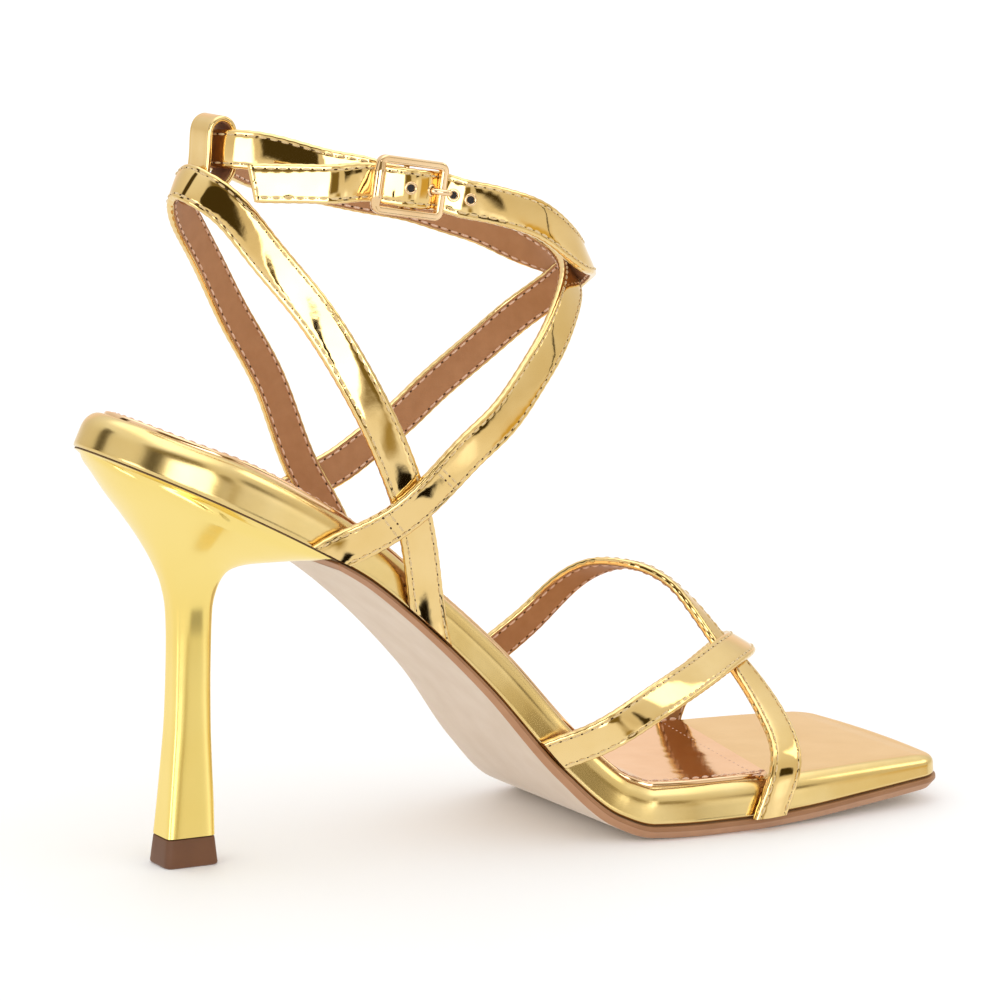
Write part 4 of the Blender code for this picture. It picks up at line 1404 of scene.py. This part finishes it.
class StrapPath:
    """A strap's middle line with its across and outward directions, read at any length."""

    STEPS = 24
    TAIL_SLANT = -0.21
    TAIL_BEYOND = 0.35 * MM
    WINDOW = 100 * MM
    WINDOW_SHARE = 0.45
    WINDOW_POINTS = 2400

    def __init__(self, knots: Array) -> None:
        """Carry the knots through a natural spline and measure it.

        Args:
            knots: one row per knot, as in by_shares.
        """
        line = natural_curve(knots, self.STEPS)
        face, tilt = line[:, 3], line[:, 4]
        facing = np.stack([np.cos(tilt) * np.cos(face), np.cos(tilt) * np.sin(face), np.sin(tilt)], axis=-1)
        self.centre = line[:, :3]
        self.tangent = unit(np.gradient(self.centre, axis=0))
        self.outward = unit(facing - (facing * self.tangent).sum(axis=1, keepdims=True) * self.tangent)
        self.across = np.cross(self.outward, self.tangent)
        self.reach = lengths_along(self.centre)
        self.length = float(self.reach[-1])

    def read(self, values: Array, at: Array) -> Array:
        """Return the line's places, or one of its directions, at these lengths."""
        return read_at(values, self.reach, at)

    def surface(self, at: Array, u: Array, v: Array) -> Array:
        """Find points at a length along the line, then across and outward from it.

        Args:
            at: lengths along the line, which carries straight on past both of its ends.
            u: offsets across.
            v: offsets outward.

        Returns:
            The points, in metres.
        """
        at, u, v = np.broadcast_arrays(at, u, v)
        past = (at - np.clip(at, 0.0, self.length))[..., None]
        return self.read(self.centre, at) + past * self.read(self.tangent, at) + (
            self.read(self.across, at) * u[..., None] + self.read(self.outward, at) * v[..., None]
        )

    def cut(self, u: Array, v: Array, end: End, at_start: bool) -> Array:
        """Find where each line of the section starts or stops.

        A tucked end stops on the outsole's top: each line is followed from the end until it
        stays clear of the bed by the gap. A free end is slanted, a little past the line's end.

        Args:
            u: the section's offsets across.
            v: its offsets outward.
            end: how the strap ends.
            at_start: whether this is the start of the line.

        Returns:
            The length along the line for every point of the section.
        """
        edge = 0.0 if at_start else self.length
        if end is End.FREE:
            return edge + self.TAIL_BEYOND + self.TAIL_SLANT * u
        if end is End.HOOKED:
            return np.full(u.shape, edge)
        window = np.linspace(0.0, min(self.WINDOW, self.WINDOW_SHARE * self.length), self.WINDOW_POINTS)
        at = window if at_start else self.length - window
        under = BED.clearance(self.surface(at[:, None], u[None], v[None])) <= GAP
        last_under = np.where(under.any(axis=0), len(window) - 1 - np.argmax(under[::-1], axis=0), -1)
        return at[np.minimum(last_under + 1, len(window) - 1)]


@dataclass
class Strap:
    """One foil strap with its lining, and two rows of stitches along each face.

    Each row across is its length along the strap, its slant, and the face it is sewn on.
    """

    name: str
    knots: Array
    start: End
    stop: End
    node: str
    cut: StrapCut = StrapCut()
    rows_across: tuple[tuple[float, float, Face], ...] = ()
    station: float = 0.75 * MM

    SEAM_END = 0.8 * MM
    SEAM_POINTS = 900
    ACROSS_POINTS = 20
    ROUNDED_END = 0.7 * MM

    def __post_init__(self) -> None:
        """Lay out the strap's path."""
        self.path = StrapPath(self.knots)

    def body(self) -> None:
        """Carry the section along the path, each of its lines from its own start to its own stop."""
        u, v, lining = self.cut.section()
        first = self.path.cut(u, v, self.start, True)
        last = self.path.cut(u, v, self.stop, False)
        count = int(self.path.length / self.station)
        share = np.linspace(0, 1, count)[:, None]
        at = first + (last - first) * share
        half = self.cut.width / 2
        outside = self.cut.is_outer(v).astype(float)
        crown = self.cut.crown * (1 - (u / half) ** 2)
        wave = np.cos(math.tau * at / Seam().pitch)
        lift = outside * (crown - self.cut.groove * self.cut.beside_seam(u) * (0.7 + 0.3 * wave))
        on_edge = (1 - outside) * (v > -0.8 * self.cut.thickness / 2)
        width_wave = 1 + on_edge * self.cut.pucker / half * wave
        rounding = self.end_rounding(share * self.path.length)
        points = self.path.surface(at, u * width_wave * rounding[1], (v + lift) * rounding[0])
        around = len(u)
        quads = quads_between(count, around)
        caps, centres = [], []
        for level, base in ((0, 0), (count - 1, around * (count - 1))):
            j = np.arange(around)
            pole = count * around + len(centres)
            caps.append(np.stack([base + j, base + (j + 1) % around, np.full(around, pole)], axis=-1))
            centres.append(points[level].mean(axis=0))
        everything = np.concatenate([points.reshape(-1, 3), np.array(centres)])
        faces = [quads, *caps]
        choice = np.concatenate([np.tile(lining, count - 1), np.zeros(2 * around)])
        build(self.name, everything, faces, STRAP_FINISHES, (self.node,), choice, crease=50)

    def end_rounding(self, at: Array) -> tuple[Array, Array]:
        """Round off a free end: thickness and width shrink in a quarter ellipse over its last bit.

        Args:
            at: lengths along the strap.

        Returns:
            Shares of the thickness and of the width.
        """
        if self.stop is not End.FREE:
            return np.ones_like(at), np.ones_like(at)
        left = np.clip((self.path.length - at) / self.ROUNDED_END, 0.0, 1.0)
        bulge = np.sqrt(1 - (1 - left) ** 2)
        return 0.25 + 0.75 * bulge, 0.96 + 0.04 * bulge

    def seam_end(self, end: End) -> float:
        """Return how far the rows along the strap stay from one of its ends."""
        return self.cut.seam_inset if end is End.FREE else self.SEAM_END

    def seams(self) -> None:
        """Sew both edges, on the foil and on the lining, and the rows that run across."""
        inset = self.cut.seam_at
        row = np.linspace(-inset, inset, self.ACROSS_POINTS)
        for face, thread in ((Face.OUTSIDE, GOLD_THREAD), (Face.LINING, LINING_THREAD)):
            tag = "stitches" if face is Face.OUTSIDE else "lining_stitches"
            sewing = Sewing(f"{self.name}_{tag}", thread, "gold_foil")
            for side in (-1, 1):
                u = np.array([side * inset])
                v = np.array([face.value * self.cut.thickness / 2])
                first = self.path.cut(u, v, self.start, True)[0]
                last = self.path.cut(u, v, self.stop, False)[0]
                first, last = first + self.seam_end(self.start), last - self.seam_end(self.stop)
                self.sew_line(sewing, np.linspace(first, last, self.SEAM_POINTS), u, face)
            for at, slant, sewn_face in self.rows_across:
                if sewn_face is face:
                    self.sew_line(sewing, at + slant * row, row, face)
            if self.stop is End.FREE:
                edge = self.path.cut(row, row, End.FREE, False)
                self.sew_line(sewing, edge - self.cut.seam_inset, row, face)
            sewing.build()

    def sew_line(self, sewing: Sewing, at: Array, u: Array, face: Face) -> None:
        """Sew one line on a face of the strap.

        Args:
            sewing: the piece that takes the stitches.
            at: lengths along the strap.
            u: offsets across it.
            face: which face is sewn.
        """
        lift = 0.0 if face is Face.OUTSIDE else self.cut.lining_lift
        crown = 0.0 if len(u) == 1 or face is Face.LINING else self.cut.crown
        raised = self.cut.thickness / 2 + lift + crown * (1 - (u / (self.cut.width / 2)) ** 2)
        line = self.path.surface(at, u, face.value * raised)
        up = self.path.read(self.path.outward, np.broadcast_to(at, (len(line),))) * face.value
        sewing.along(line, up, Seam())

    def build(self) -> None:
        """Make the strap and its seams."""
        self.body()
        self.seams()


def ring_frames(line: Array, closed: bool) -> tuple[Array, Array]:
    """Find two directions square to a line that lies near one plane.

    Args:
        line: the line's points.
        closed: whether its end joins its start.

    Returns:
        Directions in the plane and across it, for every point.
    """
    if closed:
        along = unit(np.roll(line, -1, axis=0) - np.roll(line, 1, axis=0))
    else:
        along = unit(np.gradient(line, axis=0))
    flat = line - line.mean(axis=0)
    across = np.linalg.svd(flat, full_matrices=False)[2][2]
    across = np.broadcast_to(across, line.shape)
    across = unit(across - (across * along).sum(axis=1, keepdims=True) * along)
    return np.cross(across, along), across


def tube(
    line: Array, radius: Array | float, sides: int, closed: bool, flatten: float = 1.0, square: float = 2.0
) -> tuple[Array, Array]:
    """Carry a superellipse along a line that lies near one plane.

    Args:
        line: the middle line's points.
        radius: the radius, the same all along or one for each point.
        sides: points round the section.
        closed: whether the line's end joins its start; otherwise flat fans close both ends.
        flatten: the share of the radius across the plane.
        square: the section's superellipse power, 2 for a circle and more for a squarer bar.

    Returns:
        Points and quads.
    """
    inside, across = ring_frames(line, closed)
    turn = full_turn(sides)
    size = np.broadcast_to(np.asarray(radius, dtype=float), (len(line),))[:, None, None]
    swell = (np.abs(np.cos(turn)) ** square + np.abs(np.sin(turn)) ** square) ** (-1 / square)
    near, far = (swell * np.cos(turn))[None, :, None], (swell * np.sin(turn))[None, :, None]
    ring = near * inside[:, None] + flatten * far * across[:, None]
    points = line[:, None] + size * ring
    levels = len(line)
    if closed:
        quads = quads_between(levels + 1, sides) % (levels * sides)
        return points.reshape(-1, 3), quads
    quads = np.concatenate([quads_between(levels, sides), pole_fans(levels, sides)])
    return np.concatenate([points.reshape(-1, 3), line[[0, -1]]]), quads


@dataclass
class BackLoop:
    """The folded foil tab at the back that carries the ankle strap."""

    width: float = 10.0 * MM
    thickness: float = 1.2 * MM
    steps: int = 14

    def build(self) -> None:
        """Carry a strap section round the loop's closed line."""
        path = np.array([(ahead, 0.0, up) for ahead, up in LOOP_PATH]) * HEEL_RISE
        path[:, 0] += LOOP_STANDS_AT
        wrapped = np.concatenate([path[-3:], path, path[:4]])
        line = natural_curve(wrapped, self.steps)[3 * self.steps : (3 + len(path)) * self.steps]
        tangent = unit(np.roll(line, -1, axis=0) - np.roll(line, 1, axis=0))
        across = np.tile([0.0, 1.0, 0.0], (len(line), 1))
        outward = np.cross(tangent, across)
        cut = StrapCut(
            width=self.width, thickness=self.thickness, edge=0.45 * MM, crown=0.08 * MM, groove=0.08 * MM,
            seam_inset=1.1 * MM,
        )
        u, v, lining = cut.section()
        out = v + cut.is_outer(v) * (cut.crown - cut.groove * cut.beside_seam(u))
        sideways = across[:, None] * u[None, :, None]
        points = line[:, None] + sideways + outward[:, None] * out[None, :, None]
        levels, around = len(line), len(u)
        quads = quads_between(levels + 1, around) % (levels * around)
        choice = np.tile(lining, levels).astype(int)
        build("back_tab", points, [quads], STRAP_FINISHES, ("back_loop",), choice, crease=50)


@dataclass
class Buckle:
    """The buckle's frame with its dipped centre bar, the prong and the strap's punched holes."""

    length: float = BUCKLE_LENGTH
    height: float = BUCKLE_HEIGHT
    corner: float = 1.3 * MM
    bar: float = 0.95 * MM
    centre_bar: float = 0.7 * MM
    prong_wire: float = 0.5 * MM
    dip: float = 2.5 * MM
    first_hole: float = 5.55 * MM
    eyelet_places: tuple[float, ...] = (6.0 * MM, 0.0, -8.1 * MM, -12.1 * MM)
    eyelet_radius: float = 1.2 * MM
    eyelet_wire: float = 0.34 * MM
    eyelet_lift: float = 0.02 * MM
    hole_radius: float = 0.85 * MM
    hole_lift: float = 0.03 * MM
    hole_depth: float = 0.3 * MM
    ring_points: int = 220
    hole_sides: int = 32

    def frame_bars(self) -> None:
        """Bend the frame from four straight bars and quarter-round corners, with a thicker end bar."""
        half_l, half_h = self.length / 2 - self.bar, self.height / 2 - self.bar
        turns = np.radians(np.linspace(0, 90, 9))
        corners = []
        for sx, sz, start in ((1, 1, 0), (-1, 1, 90), (-1, -1, 180), (1, -1, 270)):
            turn = turns + math.radians(start)
            corners.append(np.stack([
                sx * (half_l - self.corner) + self.corner * np.cos(turn),
                sz * (half_h - self.corner) + self.corner * np.sin(turn),
            ], axis=-1))
        ring = np.concatenate(corners)
        closed = np.concatenate([ring, ring[:1]])
        reach = lengths_along(closed)
        flat = read_at(closed, reach, np.arange(self.ring_points) / self.ring_points * reach[-1])
        line = at_buckle(flat[:, 0], flat[:, 1], 0.0)
        points, quads = tube(line, self.bar, 28, True, flatten=1.1, square=5.0)
        sleeve = 0.88
        up = np.linspace(-sleeve, sleeve, 25) * half_h
        size = self.bar * (1 + 0.5 * np.clip((sleeve - np.abs(up / half_h)) / 0.38, 0, 1))
        sleeve_points, sleeve_quads = tube(at_buckle(-half_l - 0.1 * MM, up, 0.35 * MM), size, 20, False)
        share = np.array([1.0, 1.0, 0.985, 0.93, 0.5, 0.0])
        down = np.array([0.0, 0.5, 0.85, 1.0, 1.0, 1.0])
        share = np.concatenate([share, -share[-2::-1]])
        down = np.concatenate([down, down[-2::-1]])
        staple = natural_curve(at_buckle(0.0, share * half_h, -down * self.dip), 6)
        bar_points, bar_quads = tube(staple, self.centre_bar, 16, False)
        blocks = [(points, quads), (sleeve_points, sleeve_quads), (bar_points, bar_quads)]
        self.join("buckle_frame_bars", blocks, BUCKLE_PLATING, ("buckle_frame",))

    def join(
        self, name: str, blocks: list[tuple[Array, Array]], finish: Finish,
        nodes: tuple[str, ...] = (),
    ) -> None:
        """Build one piece from several closed shapes.

        Args:
            name: the piece's name.
            blocks: the points and faces of each shape.
            finish: the piece's material.
            nodes: the CAD nodes that the piece stands for.
        """
        shift = np.cumsum([0] + [len(points) for points, _ in blocks])
        quads = np.concatenate([quads + start for (_, quads), start in zip(blocks, shift)])
        points = np.concatenate([points for points, _ in blocks])
        build(name, points, as_faces(quads), [finish], nodes, crease=60)

    def prong(self) -> None:
        """Wrap a ring round the centre bar and bend the prong's shank out onto the far bar."""
        turn = full_turn(40)
        radius = self.centre_bar + GAP + self.prong_wire
        ring = at_buckle(radius * np.cos(turn), 0.0, -self.dip + radius * np.sin(turn))
        path = np.array(PRONG_PATH) * MM
        line = natural_curve(np.stack([path[:, 0], 0 * path[:, 0], path[:, 1]], axis=-1), 8)
        share = np.linspace(0, 1, len(line))
        size = np.interp(share, (0, 0.15, 0.85, 0.97, 1), (0.5, 0.75, 0.75, 0.55, 0.2)) * MM
        shank = tube(at_buckle(line[:, 0], 0.0, line[:, 2]), size, 16, False)
        blocks = [tube(ring, self.prong_wire, 14, True), shank]
        self.join("buckle_prong_bent", blocks, BUCKLE_PLATING, ("buckle_prong",))

    def dark_hole(self, path: StrapPath, at: float, top: float) -> tuple[Array, Array]:
        """Make the dark inside of a hole: a disc just over the strap's face, joined to one sunk in it.

        Args:
            path: the strap's path.
            at: the hole's length along it.
            top: how far out the strap's face lies.

        Returns:
            Points and quads.
        """
        turn = full_turn(self.hole_sides)
        grid = self.hole_radius * np.linspace(0, 1, 5)[1:, None]
        along, across = at + grid * np.cos(turn), grid * np.sin(turn)
        high, low = top + self.hole_lift, top - self.hole_depth
        shell = np.concatenate([path.surface(along, across, high), path.surface(along, across, low)[::-1]])
        poles = path.surface(at, 0.0, np.array([high, low]))
        quads = np.concatenate([quads_between(len(shell), len(turn)), pole_fans(len(shell), len(turn))])
        return np.concatenate([shell.reshape(-1, 3), poles]), quads

    def holes(self, strap: Strap) -> None:
        """Punch eyelets along the tail: a raised rim round a dark hole, on the strap's outer face.

        Args:
            strap: the strap with the tail.
        """
        path = strap.path
        from_hole = np.linalg.norm(path.centre - at_buckle(self.first_hole, 0.0, 0.0), axis=1)
        near = path.reach[np.argmin(from_hole)]
        top = strap.cut.thickness / 2 + strap.cut.crown
        rims, darks = [], []
        turn = full_turn(self.hole_sides)
        along, across = self.eyelet_radius * np.cos(turn), self.eyelet_radius * np.sin(turn)
        for from_prong in self.eyelet_places:
            at = near + from_prong
            ring = path.surface(at + along, across, top + self.eyelet_lift)
            rims.append(tube(ring, self.eyelet_wire, 12, True, flatten=0.8))
            darks.append(self.dark_hole(path, at, top))
        self.join("tail_eyelets", rims, BUCKLE_PLATING)
        self.join("tail_holes", darks, HOLE_DARK)

    def build(self, strap: Strap) -> None:
        """Make the frame, the prong and the holes in the tail.

        Args:
            strap: the strap with the tail.
        """
        self.frame_bars()
        self.prong()
        self.holes(strap)


@dataclass(frozen=True)
class Card:
    """A soft-edged studio card: the way it hangs, its half sizes as slopes, and its brightness."""

    azimuth: float
    elevation: float
    half_width: float
    half_height: float
    soft: float
    colour: str
    power: float


@dataclass
class Studio:
    """A plain pale floor, soft light all round with a few cards for the foil, and the camera."""

    eye: tuple[float, float, float] = (-464.463 * MM, -953.706 * MM, 267.027 * MM)
    yaw: float = 29.9433
    pitch: float = 9.6103
    roll: float = 0.7585
    lens: float = 165.8
    floor_middle: float = 90 * MM
    floor_radius: float = 460 * MM
    floor_points: int = 96
    light_strength: float = 1.1
    nearest: float = 0.05
    sky_stops: tuple[tuple[float, str], ...] = (
        (0.0, "#fbf8f4"),
        (0.44, "#fbf7f0"),
        (0.50, "#efe7d8"),
        (0.55, "#e0d6c2"),
        (0.68, "#e6dfd0"),
        (0.9, "#ffffff"),
    )
    cards: tuple[Card, ...] = (
        Card(-10, 84, 0.8, 0.5, 0.25, "#ffffff", 1.8),
        Card(64, 14, 0.45, 0.22, 0.15, "#ffe6d0", 0.95),
        Card(-118, 31, 0.5, 0.2, 0.1, "#84744a", 0.9),
        Card(-107, 6, 0.33, 0.23, 0.025, "#ffffff", 3.2),
        Card(-163, 3, 0.18, 0.20, 0.03, "#ffffff", 3.2),
        Card(-140, 14, 0.15, 0.22, 0.02, "#4c3f1d", 0.8),
        Card(-122, -2, 0.03, 0.05, 0.012, "#6b5a2c", 0.8),
        Card(-107, -4, 0.035, 0.06, 0.012, "#1c1508", 0.8),
        Card(-79, 6, 0.13, 0.14, 0.04, "#8a7640", 0.8),
        Card(-71, -8, 0.07, 0.09, 0.06, "#b09a60", 0.9),
        Card(-63, -19, 0.08, 0.06, 0.02, "#1c1508", 0.8),
        Card(-54, 8, 0.08, 0.10, 0.03, "#4a3d1c", 0.8),
        Card(-28, -6, 0.25, 0.10, 0.06, "#e2be62", 0.92),
        Card(-17, 4, 0.012, 0.3, 0.008, "#3a2f16", 0.8),
        Card(-20, 32, 0.25, 0.12, 0.04, "#fff8e8", 2.6),
        Card(-55, -8, 0.05, 0.09, 0.05, "#ffffff", 1.35),
        Card(150, 25, 0.15, 0.3, 0.05, "#4a3d1c", 1.0),
    )

    def camera(self) -> None:
        """Stand the camera where the photograph was taken from."""
        yaw, pitch, roll = (math.radians(angle) for angle in (self.yaw, self.pitch, self.roll))
        level = math.cos(pitch)
        forward = np.array([math.sin(yaw) * level, math.cos(yaw) * level, -math.sin(pitch)])
        right = np.array([math.cos(yaw), -math.sin(yaw), 0.0])
        up = np.cross(right, forward)
        x = right * math.cos(roll) + up * math.sin(roll)
        y = -right * math.sin(roll) + up * math.cos(roll)
        data = bpy.data.cameras.new("camera")
        data.lens = self.lens
        data.sensor_width = 36.0
        data.clip_start = 0.01
        data.clip_end = 50.0
        camera = bpy.data.objects.new("camera", data)
        turned = np.eye(4)
        turned[:3, 0], turned[:3, 1], turned[:3, 2], turned[:3, 3] = x, y, -forward, self.eye
        camera.matrix_world = Matrix(turned.tolist())
        bpy.context.scene.collection.objects.link(camera)
        bpy.context.scene.camera = camera

    def floor(self) -> None:
        """Lay the pale round floor under the tread. The foil mirrors the studio instead of it."""
        turn = full_turn(self.floor_points)
        x, y = self.floor_middle + self.floor_radius * np.cos(turn), self.floor_radius * np.sin(turn)
        mesh = bpy.data.meshes.new("floor")
        mesh.from_pydata(np.stack([x, y, 0 * x], axis=-1).tolist(), [], [list(range(len(turn)))])
        floor = bpy.data.objects.new("floor", mesh)
        bpy.context.scene.collection.objects.link(floor)
        floor.visible_glossy = False
        material = bpy.data.materials.new("paper_sweep_matt_white")
        material.use_nodes = True
        shader = material.node_tree.nodes["Principled BSDF"]
        set_inputs(shader, {"Base Color": srgb("#ffffff"), "Roughness": 0.6, "Specular IOR Level": 0.2})
        mesh.materials.append(material)

    def sky(self) -> None:
        """Light the floor evenly, and show the cards in what the foil mirrors.

        Each card is a rectangle seen from the middle: a direction shows it where its slopes
        against the card's own axis stay inside the card's half sizes.
        """
        world = bpy.data.worlds.new("soft_studio")
        bpy.context.scene.world = world
        world.use_nodes = True
        tree = world.node_tree
        tree.nodes.clear()
        where = add_node(tree, "ShaderNodeTexCoord")
        way = where.outputs["Generated"]
        rise = add_node(tree, "ShaderNodeSeparateXYZ", {0: way})
        share = add_node(tree, "ShaderNodeMapRange", {"Value": rise.outputs["Z"], "From Min": -1.0})
        ramp = add_node(tree, "ShaderNodeValToRGB", {"Fac": share.outputs["Result"]})
        while len(ramp.color_ramp.elements) < len(self.sky_stops):
            ramp.color_ramp.elements.new(0.5)
        for element, (position, code) in zip(ramp.color_ramp.elements, self.sky_stops):
            element.position = position
            element.color = srgb(code)
        seen = ramp.outputs["Color"]
        for card in self.cards:
            seen = self.hang(tree, way, seen, card)
        rays = add_node(tree, "ShaderNodeLightPath")
        mirror = add_node(
            tree, "ShaderNodeMix",
            {"Factor": rays.outputs["Is Glossy Ray"], "A": (1.0, 1.0, 1.0, 1.0), "B": seen}, data_type="RGBA",
        )
        glow = {"Color": mirror.outputs["Result"], "Strength": self.light_strength}
        light = add_node(tree, "ShaderNodeBackground", glow)
        add_node(tree, "ShaderNodeOutputWorld", {"Surface": light.outputs["Background"]})

    def hang(
        self, tree: bpy.types.NodeTree, way: bpy.types.NodeSocket, under: bpy.types.NodeSocket, card: Card
    ) -> bpy.types.NodeSocket:
        """Hang one card in front of what is there so far.

        It shows only in directions that point toward it by more than the nearest share.

        Args:
            tree: the world's node tree.
            way: the direction looked in.
            under: the colour so far.
            card: the card.

        Returns:
            The colour with the card.
        """
        azimuth, elevation = math.radians(card.azimuth), math.radians(card.elevation)
        level = math.cos(elevation)
        ahead = (level * math.cos(azimuth), level * math.sin(azimuth), math.sin(elevation))
        side = (-math.sin(azimuth), math.cos(azimuth), 0.0)
        up = tuple(np.cross(ahead, side))
        dots = [
            add_node(tree, "ShaderNodeVectorMath", {0: way, 1: axis}, operation="DOT_PRODUCT")
            for axis in (ahead, side, up)
        ]
        toward, aside, above = (dot.outputs["Value"] for dot in dots)
        front = work_out(tree, "MAXIMUM", toward, self.nearest)
        mask = work_out(tree, "GREATER_THAN", toward, self.nearest)
        for offset, half in ((aside, card.half_width), (above, card.half_height)):
            slope = work_out(tree, "ABSOLUTE", work_out(tree, "DIVIDE", offset, front))
            inside = add_node(
                tree, "ShaderNodeMapRange",
                {"Value": slope, "From Min": half + card.soft, "From Max": half - card.soft},
                interpolation_type="SMOOTHSTEP",
            )
            mask = work_out(tree, "MULTIPLY", mask, inside.outputs["Result"])
        colour = tuple(channel * card.power for channel in srgb(card.colour)[:3]) + (1.0,)
        mixed = add_node(tree, "ShaderNodeMix", {"Factor": mask, "A": under, "B": colour}, data_type="RGBA")
        return mixed.outputs["Result"]

    def build(self) -> None:
        """Set up the camera, the floor and the light, and show colours without a film look."""
        self.camera()
        self.floor()
        self.sky()
        bpy.context.scene.view_settings.view_transform = "Standard"


def main() -> None:
    """Build every sub-assembly in order."""
    logging.basicConfig(level=logging.INFO, format="%(name)s %(message)s")
    Studio().build()
    Sole().build()
    Platform().build()
    Heel().build()
    toe_cut = StrapCut(width=8.6 * MM)
    outer_knots = np.concatenate([by_shares(OUTER_STRAP), by_buckle(HOOK_AT_BUCKLE)])
    inner_knots = np.concatenate([
        by_shares(INNER_STRAP), by_buckle(TAIL_AT_BUCKLE), by_shares(INNER_STRAP_TAIL),
    ])
    tail = Strap(
        "inner_ankle_strap", inner_knots, End.TUCKED, End.FREE, "ankle_straps",
        rows_across=((44.0 * MM, 0.1, Face.LINING),),
    )
    straps = (
        Strap("heel_strap", by_shares(HEEL_STRAP), End.TUCKED, End.TUCKED, "ankle_straps"),
        Strap(
            "outer_ankle_strap", outer_knots, End.TUCKED, End.HOOKED, "ankle_straps",
            rows_across=tuple((at * MM, -0.1, Face.OUTSIDE) for at in (43.0, 44.8, 59.8, 61.2)),
        ),
        tail,
        Strap("toe_under_strap", by_shares(TOE_UNDER_STRAP), End.TUCKED, End.TUCKED, "toe_straps", toe_cut),
        Strap("toe_over_strap", by_shares(TOE_OVER_STRAP), End.TUCKED, End.TUCKED, "toe_straps", toe_cut),
    )
    for strap in straps:
        strap.build()
    BackLoop().build()
    Buckle().build(tail)


if __name__ == "__main__":
    main()
